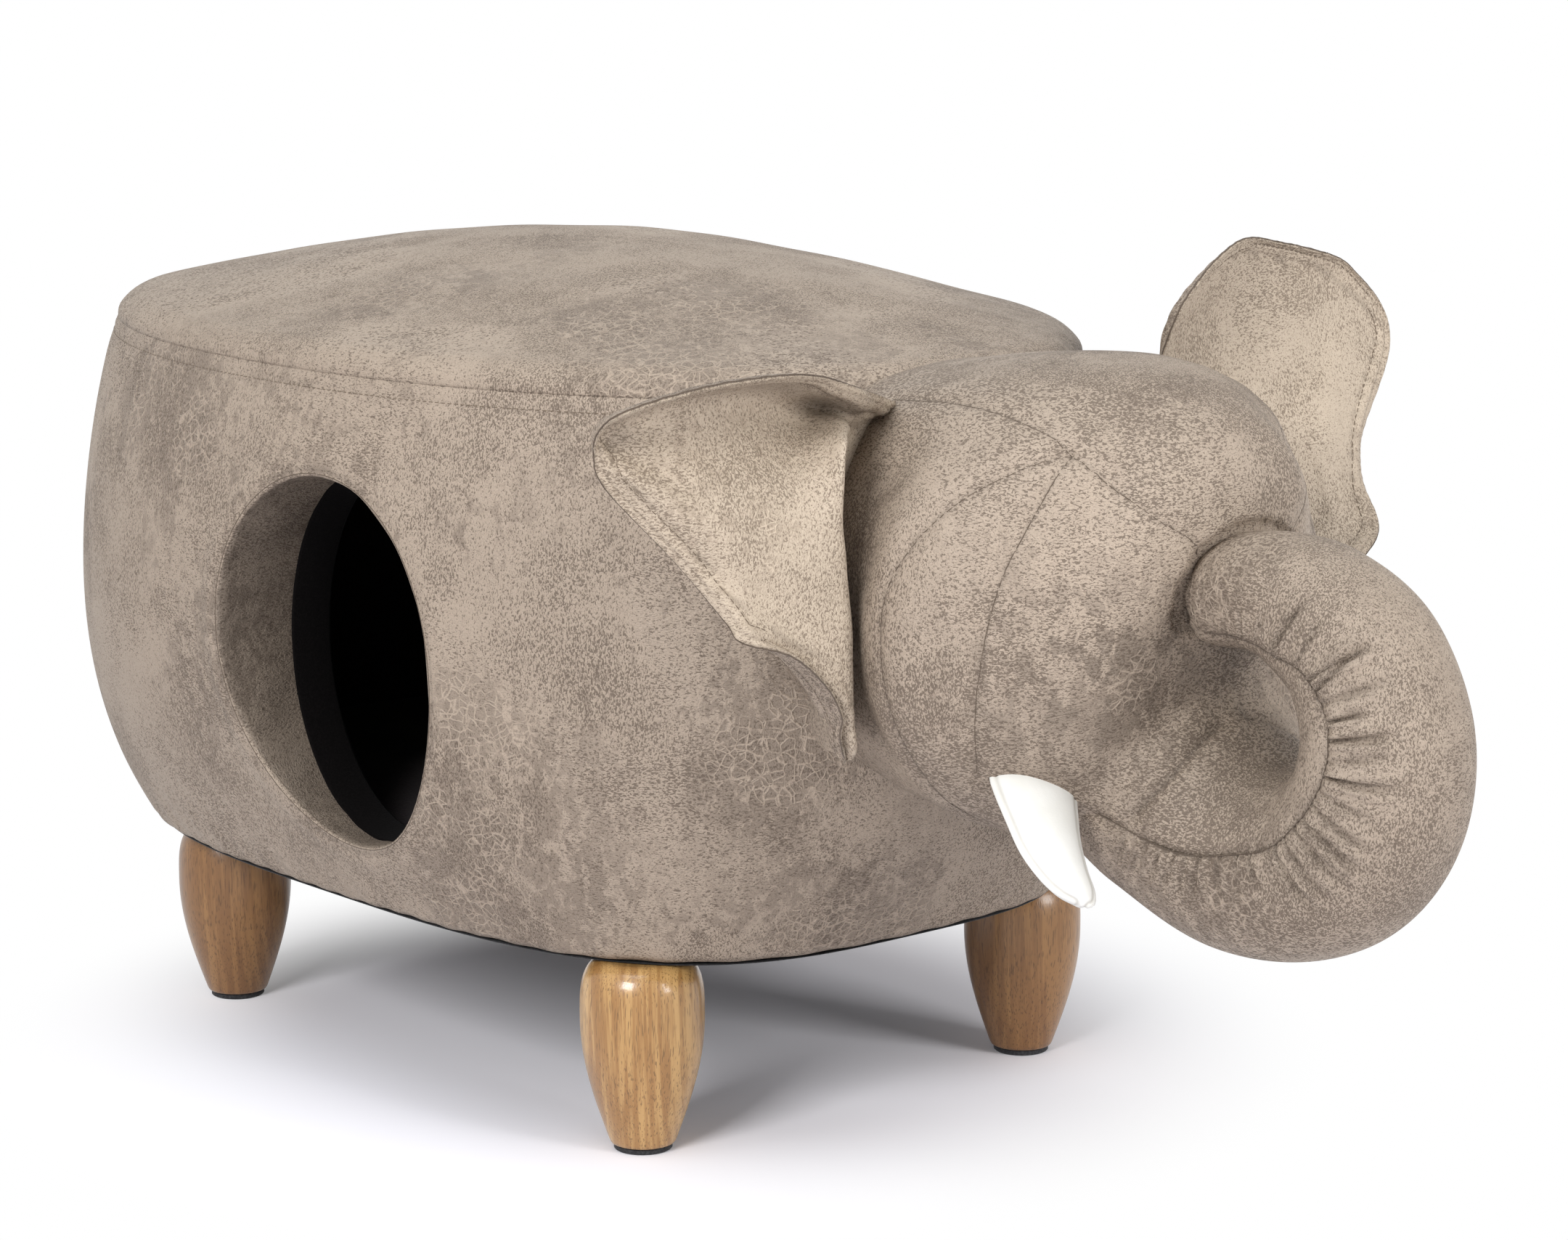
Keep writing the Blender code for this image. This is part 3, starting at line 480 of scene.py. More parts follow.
def add_camera():
    target = Vector(CAMERA_TARGET) + Vector(SHIFT)
    level = math.cos(CAMERA_ELEVATION)
    sideways = math.sin(CAMERA_AZIMUTH) * level
    back = Vector((sideways, -math.cos(CAMERA_AZIMUTH) * level, math.sin(CAMERA_ELEVATION)))
    data = bpy.data.cameras.new("camera")
    data.sensor_width = SENSOR_WIDTH
    data.lens = FOCAL_PIXELS * SENSOR_WIDTH / IMAGE_WIDTH
    camera = bpy.data.objects.new("camera", data)
    camera.location = target + back * CAMERA_DISTANCE
    camera.rotation_mode = "QUATERNION"
    camera.rotation_quaternion = (-back).to_track_quat("-Z", "Y")
    bpy.context.scene.collection.objects.link(camera)
    bpy.context.scene.camera = camera


def add_softbox(name, place, size, power, colour):
    data = bpy.data.lights.new(name, "AREA")
    data.color = colour
    data.shape = "RECTANGLE"
    data.size = size
    data.size_y = size
    data.energy = power
    lamp = bpy.data.objects.new(name, data)
    lamp.location = place
    lamp.rotation_mode = "QUATERNION"
    lamp.rotation_quaternion = (Vector(LIGHTS_AIM) - Vector(place)).to_track_quat("-Z", "Y")
    bpy.context.scene.collection.objects.link(lamp)


def seen_ray(tree):
    """1 for what the camera sees directly or in gloss and glass."""
    path = tree.nodes.new("ShaderNodeLightPath")
    first = larger(tree, path.outputs["Is Camera Ray"], path.outputs["Is Glossy Ray"])
    return larger(tree, first, path.outputs["Is Transmission Ray"])


def add_backdrop():
    """White world for the camera, and a dimmer one for the light that it gives."""
    world = bpy.data.worlds.new("studio")
    bpy.context.scene.world = world
    world.use_nodes = True
    tree = world.node_tree
    strength = add_range(tree, seen_ray(tree), 0.0, 1.0, AMBIENT, 1.0)
    tree.nodes["Background"].inputs["Color"].default_value = (1, 1, 1, 1)
    tree.links.new(strength, tree.nodes["Background"].inputs["Strength"])


def add_floor():
    """Pale floor that keeps the stool's shadow and turns white further out."""
    material = bpy.data.materials.new("studio_floor")
    material.use_nodes = True
    tree = material.node_tree
    tree.nodes.remove(tree.nodes["Principled BSDF"])
    diffuse = add_node(tree, "ShaderNodeBsdfDiffuse", {"Color": FLOOR_COLOUR})
    glow = add_node(tree, "ShaderNodeEmission", {"Color": (1, 1, 1, 1)})
    ends = {0: object_place(tree), 1: WHITE_MIDDLE}
    away = add_node(tree, "ShaderNodeVectorMath", ends, operation="DISTANCE").outputs["Value"]
    share = times(tree, seen_ray(tree), add_range(tree, away, WHITE_START, WHITE_FULL))
    mix = add_node(tree, "ShaderNodeMixShader", {0: share, 1: diffuse.outputs[0], 2: glow.outputs[0]})
    tree.links.new(mix.outputs[0], tree.nodes["Material Output"].inputs["Surface"])
    bpy.ops.object.select_all(action="DESELECT")
    bpy.ops.mesh.primitive_plane_add(size=60)
    floor = bpy.context.object
    floor.name = "studio_floor"
    floor.data.materials.append(material)


add_camera()
bpy.context.scene.view_settings.view_transform = "Standard"
add_backdrop()
add_floor()
for softbox in SOFTBOXES:
    add_softbox(*softbox)


# Finishes


def new_group(name, inputs, outputs):
    """Empty node group with named value inputs and outputs."""
    group = bpy.data.node_groups.new(name, "ShaderNodeTree")
    for label, value in inputs:
        kind = "NodeSocketVector" if value is None else "NodeSocketFloat"
        socket = group.interface.new_socket(label, in_out="INPUT", socket_type=kind)
        if value is not None:
            socket.default_value = value
    for label in outputs:
        group.interface.new_socket(label, in_out="OUTPUT", socket_type="NodeSocketFloat")
    return group, group.nodes.new("NodeGroupInput"), group.nodes.new("NodeGroupOutput")


def cracked_lines(group, place, warp_source, scale, warp_size, low, high):
    """Network of lines between warped cells."""
    warp = {0: warp_source, 1: (warp_size, warp_size, warp_size), 2: place}
    warped = add_node(group, "ShaderNodeVectorMath", warp, operation="MULTIPLY_ADD").outputs[0]
    inputs = {"Vector": warped, "Scale": scale}
    cells = add_node(group, "ShaderNodeTexVoronoi", inputs, feature="DISTANCE_TO_EDGE")
    return add_range(group, cells.outputs["Distance"], low, high, 1.0, 0.0)


def hide_flakes(group, place, worn, paleness):
    """Soft dark flakes: fine noise cut at a level that changes by area."""
    tall = add_mapping(group, place, (1, 1, 0.62), (0.12, 0.1, 0.4))
    broad = add_noise(group, add_mapping(group, place, (1, 1, 0.6), (0.3, 0.9, 0.2)), 11, 3, 0.6, 0.4)
    flake = add_noise(group, tall, 150, 5, 0.72, 0.4)
    level = minus(group, add_range(group, broad, 0.36, 0.64, 0.68, 0.47), times(group, worn, 0.12))
    level = plus(group, level, times(group, paleness, 0.10))
    flakes = add_range(group, minus(group, flake, level), -0.07, 0.06)
    wide = add_noise(group, add_mapping(group, place, (1, 1, 0.7), (0.7, 0.2, 1.1)), 7, 3, 0.6, 0.3)
    patches = add_range(group, wide, 0.46, 0.62, 0.35, 1.0)
    return times(group, flakes, larger(group, patches, add_range(group, worn, 0.02, 0.4)))


def hide_spots(group, place, spotted):
    """Dark spots with ragged edges."""
    turned = add_mapping(group, place, (1, 1, 0.8), (0.9, 0.3, 0.1))
    spots = add_noise(group, turned, 78, 2, 0.5, 0.5)
    spots = plus(group, spots, times(group, add_noise(group, place, 420, 3, 0.6), 0.28))
    return times(group, add_range(group, spots, 0.64, 0.71), spotted)


def hide_grain(group, place):
    """Wormy grain: short lines that lie in some areas and stand in others."""
    lines = []
    for scale, rotation in (((0.6, 0.6, 1.25), (0.15, 0.1, 0.2)), ((1.2, 1.2, 0.65), (0.2, 0.15, 0.1))):
        lines.append(add_noise(group, add_mapping(group, place, scale, rotation), 1050, 1, 0.5, 0.7))
    way = add_range(group, add_noise(group, place, 8, 1, 0.5), 0.44, 0.56)
    return add_blend(group, way, *lines)


def hide_crackle(group, place, zone):
    """Pale network of lines inside the zone."""
    warp_source = add_noise(group, place, 60, 2, 0.5, output="Color")
    small = cracked_lines(group, place, warp_source, 175, 0.006, 0.01, 0.11)
    large = cracked_lines(group, place, warp_source, 80, 0.012, 0.005, 0.05)
    crackle = times(group, larger(group, small, large), zone)
    broken = add_range(group, add_noise(group, place, 200, 2, 0.5), 0.34, 0.50, 0.2, 1.0)
    return times(group, crackle, broken)


def make_hide_group():
    """Distressed hide: pale flakes on a dark ground, dark spots, wormy grain and patches of pale crackle."""
    outputs = ["Flakes", "Spots", "Marks", "Zone", "Crackle", "Speck", "Relief"]
    inputs = [("Place", None), ("Worn", 0.0), ("Spotted", 0.0), ("Paleness", 0.0), ("Dense", 0.0)]
    group, entry, leaving = new_group("distressed_hide", inputs, outputs)
    place, worn, spotted, paleness, dense = entry.outputs[:5]
    fine = hide_grain(group, place)
    level = add_range(group, add_noise(group, place, 17, 4, 0.68), 0.36, 0.64, 0.60, 0.485)
    level = minus(group, level, times(group, dense, 0.05))
    field = add_noise(group, add_mapping(group, place, (1, 1, 0.8), (1.1, 0.7, 0.3)), 22, 5, 0.66, 0.3)
    zone = add_range(group, plus(group, field, times(group, worn, 0.27)), 0.62, 0.72)
    crackle = hide_crackle(group, place, zone)
    results = (
        hide_flakes(group, place, worn, paleness),
        hide_spots(group, place, spotted),
        add_range(group, minus(group, fine, level), -0.03, 0.07),
        zone,
        crackle,
        add_noise(group, place, 1500, 2, 0.6),
        minus(group, times(group, crackle, 0.5), fine),
    )
    for result, socket in zip(results, leaving.inputs):
        group.links.new(result, socket)
    return group


HIDE = make_hide_group()


def new_material(name, roughness, **settings):
    material = bpy.data.materials.new(name)
    material.use_nodes = True
    shader = material.node_tree.nodes["Principled BSDF"]
    shader.inputs["Roughness"].default_value = roughness
    for label, value in settings.items():
        shader.inputs[label.replace("_", " ")].default_value = value
    return material, material.node_tree, shader


def make_leather(name, light, dark, mark, paleness):
    """Leather of a light colour that wears down to a dark one, with marks of grain."""
    material, tree, shader = new_material(name, 0.56, Specular_IOR_Level=0.3)
    paler_patch = attribute_value(tree, "paler_patch")
    inputs = {label: attribute_value(tree, label.lower()) for label in ("Worn", "Spotted", "Dense")}
    inputs["Place"] = object_place(tree)
    inputs["Paleness"] = plus(tree, paler_patch, paleness)
    hide = add_node(tree, "ShaderNodeGroup", inputs, node_tree=HIDE)
    speck = add_range(tree, hide.outputs["Speck"], 0.5, 0.75)
    colour = add_mix(tree, hide.outputs["Flakes"], light, dark)
    for part, share, over in (
        # lighter colour over the paler patch on the upper face
        (paler_patch, 0.8, scaled(light, 1.15)),
        (hide.outputs["Zone"], 0.7, dark),
        (hide.outputs["Spots"], 0.85, scaled(dark, 0.80)),
        (hide.outputs["Marks"], 0.78, mark),
        (hide.outputs["Crackle"], 0.7, scaled(light, 1.25)),
        (speck, 0.5, mark),
        # dark seam lines and painted shade in grooves, folds and hollows, from the painted attribute
        (attribute_value(tree, "seams_and_painted_shade"), 0.6, scaled(mark, 0.5)),
    ):
        colour = add_mix(tree, times(tree, part, share), colour, over)
    tree.links.new(colour, shader.inputs["Base Color"])
    tree.links.new(add_range(tree, hide.outputs["Marks"], 0, 1, 0.50, 0.66), shader.inputs["Roughness"])
    add_bump(tree, shader, hide.outputs["Relief"], 0.0016, 0.6)
    return material


TAUPE = make_leather("taupe_leather", (0.332, 0.267, 0.207), (0.222, 0.175, 0.135), (0.094, 0.068, 0.050), 0)
PALE = make_leather("pale_leather", (0.440, 0.361, 0.277), (0.350, 0.282, 0.213), (0.150, 0.112, 0.080), 0.7)


def make_cloth(name, colour, fleck, scale, sheen=0.15):
    material, tree, shader = new_material(name, 0.9, Specular_IOR_Level=sheen, Sheen_Weight=sheen)
    threads = add_noise(tree, object_place(tree), scale, 3, 0.65)
    woven = add_mix(tree, add_range(tree, threads, 0.4, 0.7), colour, fleck)
    tree.links.new(woven, shader.inputs["Base Color"])
    add_bump(tree, shader, threads, 0.0006, 0.5)
    return material


BLACK_CLOTH = make_cloth("black_cloth", (0.012, 0.012, 0.013), (0.028, 0.028, 0.030), 700)
BINDING = make_cloth("binding", (0.0035, 0.0030, 0.0030), (0.006, 0.005, 0.005), 900, 0.02)
CABIN_CLOTH = make_cloth("cabin_cloth", (0.022, 0.017, 0.018), (0.034, 0.027, 0.028), 700, 0.05)
FELT = make_cloth("felt", (0.022, 0.022, 0.024), (0.050, 0.050, 0.052), 900)
THREAD = make_cloth("brown_thread", (0.120, 0.088, 0.062), (0.190, 0.145, 0.105), 1500)
# Dark line in each seam's groove: the thread and painted shadow
SEAM_SHADE = make_cloth("seam_thread_and_shadow", (0.085, 0.062, 0.045), (0.130, 0.098, 0.072), 1500)
FOAM = make_cloth("foam", (0.70, 0.66, 0.52), (0.78, 0.74, 0.60), 900)


def make_vinyl():
    material, tree, shader = new_material("white_vinyl", 0.42, Specular_IOR_Level=0.4)
    place = object_place(tree)
    soft = add_range(tree, add_noise(tree, place, 30, 3, 0.5), 0.35, 0.7)
    colour = add_mix(tree, soft, (0.66, 0.65, 0.62), (0.60, 0.59, 0.55))
    # dark seam line and painted shade in its groove
    edge = times(tree, attribute_value(tree, "seams_and_painted_shade"), 0.5)
    tree.links.new(add_mix(tree, edge, colour, (0.36, 0.33, 0.27)), shader.inputs["Base Color"])
    add_bump(tree, shader, add_noise(tree, place, 260, 3, 0.6), 0.0005, 0.35)
    return material


WHITE_VINYL = make_vinyl()


def make_wood(name, light, dark, coat=0.5):
    """Straight grain: soft upright bands with short dark pores."""
    material, tree, shader = new_material(name, 0.32, Coat_Weight=coat, Coat_Roughness=0.12)
    place = object_place(tree)
    sawn = add_mapping(tree, place, (1, 1, 1), (0.02, 0.02, 0.708))
    bands = add_noise(tree, add_mapping(tree, sawn, (260, 30, 9)), 1.0, 3, 0.65, 0.15)
    broad = add_noise(tree, add_mapping(tree, place, (42, 30, 5), (0.1, 0.04, 0)), 1.0, 2, 0.5, 0.6)
    pores = add_noise(tree, add_mapping(tree, place, (1500, 1500, 120), (0.05, 0.02, 0)), 1.0, 1, 0.5)
    shade = times(tree, add_range(tree, bands, 0.40, 0.60), 0.7)
    shade = plus(tree, shade, times(tree, add_range(tree, broad, 0.35, 0.65), 0.4))
    colour = add_mix(tree, shade, light, dark)
    pore = times(tree, add_range(tree, pores, 0.57, 0.66), 0.65)
    colour = add_mix(tree, pore, colour, scaled(dark, 0.42))
    tree.links.new(colour, shader.inputs["Base Color"])
    add_bump(tree, shader, pores, -0.0002, 0.4)
    return material


LEG_WOOD = make_wood("lacquered_wood", (0.510, 0.310, 0.115), (0.285, 0.140, 0.040))
# Darker, duller copy of the leg wood: painted shade for the three legs other than the near front one
SHADED_LEG_WOOD = make_wood("shaded_lacquered_wood", (0.280, 0.143, 0.050), (0.180, 0.082, 0.027), 0.15)
PINE = make_wood("pine_board", (0.620, 0.450, 0.260), (0.500, 0.330, 0.170), 0.0)


def make_zinc():
    material, tree, shader = new_material("zinc_steel", 0.35, Metallic=1.0)
    place = object_place(tree)
    stain = add_noise(tree, place, 300, 4, 0.65)
    colour = add_mix(tree, add_range(tree, stain, 0.35, 0.65), (0.62, 0.62, 0.60), (0.42, 0.43, 0.43))
    tree.links.new(colour, shader.inputs["Base Color"])
    tree.links.new(add_range(tree, stain, 0.3, 0.7, 0.28, 0.45), shader.inputs["Roughness"])
    add_bump(tree, shader, add_noise(tree, place, 2500, 2, 0.5), 0.0001, 0.3)
    return material


ZINC = make_zinc()


# Side cover

SIDE_COLUMNS = 474
SIDE_STEP = 0.0031
BOTTOM_ROLL = 0.0055
ROLL_STEPS = 6
TOP_TUCK = 0.0007
TUCK_RISE = 0.0005
TUCK_STEPS = 5
HEM = 0.008
HOLE_MARGIN = 0.016
HOLE_RINGS = 12
LIP_REACH = 0.0016
# Rings round the entrance's lip: growth of the oval, depth behind the side
LIP_RINGS = ((0.0008, 0.0001), (0.0002, 0.0006), (0.0, 0.0014), (0.0003, 0.0022), (0.0012, 0.0030))
SEAT_STITCH_Z = SEAM_Z - 0.0075
SEAT_STITCH_WIDTH = 0.0016
SIDE_UNEVENNESS = 0.0009
HEM_PULL = 0.0007
HEM_PULL_Z = BASE_Z + 0.010
LIP_SWELL = 0.0012
SIDE_WORN_REACH = 0.035
SEAT_WORN_REACH = 0.040

# Middles of the patches of crackle on the side cover and the seat
SIDE_WORN = (
    (-0.208, 0.107, 0.370),
    (-0.223, 0.064, 0.338),
    (-0.211, 0.130, 0.345),
    (-0.205, -0.140, 0.218),
    (-0.198, -0.135, 0.173),
    (-0.183, -0.120, 0.123),
    (-0.101, -0.272, 0.222),
    (-0.115, -0.262, 0.208),
    (-0.022, -0.253, 0.115),
    (-0.070, -0.250, 0.130),
    (0.210, 0.080, 0.300),
    (0.200, -0.120, 0.180),
    (0.150, 0.250, 0.220),
)
SEAT_WORN = (
    (-0.051, -0.154, 0.412),
    (-0.131, -0.195, 0.394),
    (-0.111, -0.147, 0.405),
    (-0.134, 0.002, 0.412),
    (0.090, 0.080, 0.418),
    (0.020, 0.190, 0.405),
)


def paint_wear(obj, middles, reach):
    points = points_of(obj)
    paint(obj, "worn", np.max([nearness(points, middle, reach) for middle in middles], axis=0))


def side_profile():
    """(inset, z) from under the base, round the bottom roll, up the side and into the seam."""
    profile = [(HEM, BASE_Z), ((HEM + BOTTOM_ROLL) / 2, BASE_Z)]
    for step in range(ROLL_STEPS + 1):
        turn = math.pi / 2 * step / ROLL_STEPS
        profile.append((BOTTOM_ROLL * (1 - math.sin(turn)), BASE_Z + BOTTOM_ROLL * (1 - math.cos(turn))))
    low = BASE_Z + BOTTOM_ROLL
    high = SEAM_Z - TOP_TUCK
    count = round((high - low) / SIDE_STEP)
    profile += [(0, low + (high - low) * step / count) for step in range(1, count + 1)]
    for step in range(1, TUCK_STEPS + 1):
        turn = math.pi / 2 * step / TUCK_STEPS
        profile.append((TOP_TUCK * (1 - math.cos(turn)), high + (TOP_TUCK + TUCK_RISE) * math.sin(turn)))
    return profile


def pierced_side():
    """The side cover's mesh: a grid with a patch round the entrance that ends in its lip."""
    profile = side_profile()
    points = []
    for inset, z in profile:
        points += list(side_at(even_turns(SIDE_COLUMNS), np.full(SIDE_COLUMNS, z), inset))
    middle_y, middle_z, half_y, half_z = ENTRANCE
    straight = ROLL_STEPS + 3
    levels = np.array([z for _, z in profile])[straight : -TUCK_STEPS - 1]
    row_low = int(np.searchsorted(levels, middle_z - half_z - HOLE_MARGIN)) + straight - 1
    row_high = int(np.searchsorted(levels, middle_z + half_z + HOLE_MARGIN)) + straight
    spots = [turn_at(middle_y + s * (half_y + HOLE_MARGIN), np.array(middle_z)) for s in (-1, 1)]
    column_low = int(min(spots) / FULL_TURN * SIDE_COLUMNS)
    column_high = int(max(spots) / FULL_TURN * SIDE_COLUMNS) + 1
    faces = []
    for row in range(len(profile) - 1):
        quads = tube_faces(row * SIDE_COLUMNS, SIDE_COLUMNS, 2)
        if row_low <= row < row_high:
            quads = quads[:column_low] + quads[column_high:]
        faces += quads
    loop = [row_low * SIDE_COLUMNS + column for column in range(column_low, column_high)]
    loop += [row * SIDE_COLUMNS + column_high for row in range(row_low, row_high)]
    loop += [row_high * SIDE_COLUMNS + column for column in range(column_high, column_low, -1)]
    loop += [row * SIDE_COLUMNS + column_low for row in range(row_high, row_low, -1)]
    edge = np.array([points[index] for index in loop])
    angle = np.arctan2((edge[:, 1] - middle_y) / half_y, (edge[:, 2] - middle_z) / half_z)
    lip = np.stack(entrance_oval(angle, LIP_REACH), axis=-1)
    rings = []
    for share in np.linspace(0, 1, HOLE_RINGS + 1)[1:]:
        y, z = (edge[:, 1:] + (lip - edge[:, 1:]) * share).T
        rings.append(entrance_at(y, z, 0))
    for growth, depth in LIP_RINGS:
        rings.append(entrance_at(*entrance_oval(angle, growth), depth))
    previous = loop
    for ring in rings:
        current = range(len(points), len(points) + len(loop))
        points += list(ring)
        faces += band(previous, current)
        previous = current
    return np.array(points), faces


def dress_side():
    points, faces = pierced_side()
    cover = add_mesh("side_leather", points, faces)
    cover.data.update()
    normals = turned_towards(cover, (points - [0, BODY_MIDDLE_Y, 0]) * [1, 1, 0])
    x, y, z = points.T
    rest = ramp(z, BASE_Z, BASE_Z + 0.04) * (1 - ramp(z, SEAM_Z - 0.02, SEAM_Z))
    turn = np.arctan2(y - BODY_MIDDLE_Y, x)
    pull = np.sin(turn * 37 + 2 * np.sin(turn * 5)) * np.sin(turn * 23 + 1)
    stitch = bump((z - SEAT_STITCH_Z) / SEAT_STITCH_WIDTH)
    depth = SIDE_UNEVENNESS * waves(points, 0.075, 3) * rest
    depth += HEM_PULL * pull * bump((z - HEM_PULL_Z) / 0.018)
    depth += 0.0003 * bump((z - SEAM_Z + 0.0038) / SEAT_STITCH_WIDTH) - 0.0004 * stitch
    middle_y, middle_z, half_y, half_z = ENTRANCE
    around = np.hypot((y - middle_y) / half_y, (z - middle_z) / half_z) - 1
    near = (x < 0) & (around < 0.3)
    depth += near * LIP_SWELL * bump((around - 0.10) / 0.07)
    raised(cover, points, normals, depth)
    # Painted shade in the groove round the entrance's lip, along the seat seam and its stitch groove, and
    # under the bottom roll
    seams_and_painted_shade = near * 0.5 * bump((around - 0.035) / 0.012)
    seams_and_painted_shade += 0.04 * ramp(z, SEAM_Z - 0.0014, SEAM_Z - 0.0002) + 0.10 * stitch
    seams_and_painted_shade += 0.6 * (1 - ramp(z, BASE_Z, BASE_Z + 0.004))
    paint(cover, "seams_and_painted_shade", np.clip(seams_and_painted_shade, 0, 1))
    paint_wear(cover, SIDE_WORN, SIDE_WORN_REACH)
    tree = tree_of(cover)
    thickened(cover, LEATHER)
    finished(cover, TAUPE, ["side_cover"])
    return tree


# Top cover

CROWN_COLUMNS = 420
CROWN_ROWS = 90
EDGE_ROLL_SHARE = 0.12


def crown_surface(u, v):
    """Top cover from its tucked edge (v = 0) over the edge roll to the middle (v = 1)."""
    edge = EDGE_ROLL_WIDTH / SEAM_OUTLINE[1]
    roll_share = 1 - edge * (1 - np.cos(np.clip(v / EDGE_ROLL_SHARE, 0, 1) * math.pi / 2))
    flat_share = (1 - edge) * (1 - (v - EDGE_ROLL_SHARE) / (1 - EDGE_ROLL_SHARE))
    share = np.where(v <= EDGE_ROLL_SHARE, roll_share, flat_share)
    return crown_at(FULL_TURN * u, np.clip(share, 0, 1))


def dress_top():
    cover = laid_grid("seat_leather", CROWN_COLUMNS, CROWN_ROWS, crown_surface)
    points = points_of(cover)
    normals = turned_towards(cover, (0, 0, 1))
    z = points[:, 2]
    rest = ramp(z, SEAM_Z + 0.008, SEAM_Z + 0.03)
    depth = (0.0014 * waves(points, 0.10, 11) + 0.0005 * waves(points, 0.03, 12)) * rest
    depth -= 0.0002 * bump((z - SEAM_Z) / 0.0013)
    depth += 0.0004 * bump((z - SEAM_Z - 0.0045) / 0.0025)
    raised(cover, points, normals, depth)
    # Painted shade in the groove at the seat's seam
    paint(cover, "seams_and_painted_shade", 0.04 * bump((z - SEAM_Z) / 0.0009))
    paint_wear(cover, SEAT_WORN, SEAT_WORN_REACH)
    thickened(cover, LEATHER)
    finished(cover, TAUPE, ["top_cover"])


side_tree = dress_side()
dress_top()


# Threads and seams

STITCH_LENGTH = 0.0030
STITCH_PITCH = 0.0038
STITCH_RISE = 0.0001
STITCH_DIP = 0.0004
STITCH_SIDES = 5
THREAD_RADIUS = 0.00024
SEAM_SPACING = 0.0020
SEAM_SIDES = 6
SEAM_END_SHARE = 0.25
LIP_SEAM_GROWTH = 0.0012


def beads(name, middles, alongs, ups, profile, sides):
    """One mesh of many small closed rods, each a row of rings (along, rise, radius) on its own place."""
    ups = ups - alongs * (ups * alongs).sum(1)[:, None]
    ups /= np.linalg.norm(ups, axis=1)[:, None]
    acrosses = np.cross(alongs, ups)
    rings = []
    for along, rise, radius in profile:
        for side in range(sides):
            turn = FULL_TURN * side / sides
            spot = middles + alongs * along + ups * (rise + radius * math.sin(turn))
            rings.append(spot + acrosses * radius * math.cos(turn))
    points = np.stack(rings, axis=1).reshape(-1, 3)
    faces = []
    for start in range(0, len(points), len(rings)):
        faces += tube_faces(start, sides, len(profile), "capped")
    return welded(add_mesh(name, points, faces), 0)


def on_surface(line, tree):
    """Points of a line moved to the nearest places on a surface, with its normals there."""
    spots = []
    normals = []
    for point in line:
        spot, normal, _, _ = tree.find_nearest(tuple(point))
        spots.append(spot)
        normals.append(normal)
    return np.array(spots), np.array(normals)


def stitched(name, routes, tree):
    """Rows of single stitches lying on a surface along the given routes."""
    middles, alongs, ups = [], [], []
    for route in routes:
        spots, normals = on_surface(resampled(route, STITCH_PITCH), tree)
        middles.append((spots[1:] + spots[:-1]) / 2)
        direction = spots[1:] - spots[:-1]
        alongs.append(direction / np.linalg.norm(direction, axis=1)[:, None])
        ups.append((normals[1:] + normals[:-1]) / 2)
    half = STITCH_LENGTH / 2
    end = (STITCH_RISE - STITCH_DIP, THREAD_RADIUS * 0.7)
    crest = (STITCH_RISE, THREAD_RADIUS)
    profile = [(-half, *end), (-half * 0.6, *crest), (half * 0.6, *crest), (half, *end)]
    parts = [np.concatenate(part) for part in (middles, alongs, ups)]
    finished(beads(name, *parts, profile, STITCH_SIDES), THREAD)


def seam_cord(name, routes, tree, radius, sink):
    """Dark closed line along the bottom of each sewn groove: the seam's thread and painted shadow in the
    groove.
    """
    points, faces = [], []
    for route in routes:
        spots, normals = on_surface(resampled(route, SEAM_SPACING), tree)
        along = np.gradient(spots, axis=0)
        along /= np.linalg.norm(along, axis=1)[:, None]
        across = np.cross(along, normals)
        faces += tube_faces(len(points), SEAM_SIDES, len(spots), "capped")
        for step in range(len(spots)):
            size = radius * (SEAM_END_SHARE if step in (0, len(spots) - 1) else 1)
            for side in range(SEAM_SIDES):
                turn = FULL_TURN * side / SEAM_SIDES
                lift = normals[step] * (size * math.sin(turn) - sink)
                points.append(spots[step] + lift + across[step] * size * math.cos(turn))
    finished(welded(add_mesh(name, points, faces), 0), SEAM_SHADE)


def mirrored(line):
    return [(-x, y, z) for x, y, z in line]


lip_line = entrance_at(*entrance_oval(np.linspace(0, FULL_TURN, 361), LIP_SEAM_GROWTH), 0)
seam_cord("entrance_seam", [lip_line], side_tree, 0.00030, 0.0001)
seam_turns = np.linspace(0, FULL_TURN, 720, endpoint=False)
seat_line = side_at(seam_turns, np.full(720, SEAT_STITCH_Z), 0)
stitched("seat_seam_stitches", [seat_line], side_tree)


# Head and trunk

# Middles of the patches of crackle on the head and trunk, of the spots on the face and of a paler patch on
# the upper face
HEAD_WORN = (
    (-0.025, -0.485, 0.323),
    (-0.030, -0.470, 0.315),
    (-0.060, -0.441, 0.262),
    (-0.046, -0.501, 0.176),
    (-0.108, -0.408, 0.383),
    (0.060, -0.441, 0.270),
)
FACE_SPOTS = (-0.068, -0.438, 0.272)
PALER_FACE_PATCH = (-0.065, -0.440, 0.325)
# Rear to brow: place along the stool, half width, top, underside, squareness
HEAD_STATIONS = (
    (-0.200, 0.112, 0.378, 0.204, 2.3),
    (-0.260, 0.124, 0.390, 0.196, 2.3),
    (-0.305, 0.136, 0.398, 0.188, 2.3),
    (-0.340, 0.142, 0.4030, 0.181, 2.25),
    (-0.368, 0.140, 0.4040, 0.177, 2.2),
    (-0.392, 0.128, 0.4025, 0.178, 2.2),
    (-0.412, 0.110, 0.3985, 0.184, 2.15),
    (-0.428, 0.094, 0.3925, 0.194, 2.1),
    (-0.440, 0.079, 0.3860, 0.218, 2.1),
    (-0.448, 0.067, 0.3795, 0.272, 2.1),
    (-0.455, 0.054, 0.3710, 0.304, 2.1),
    (-0.460, 0.039, 0.3620, 0.320, 2.1),
    (-0.463, 0.022, 0.3535, 0.330, 2.1),
    (-0.4642, 0.001, 0.3430, 0.342, 2.1),
)
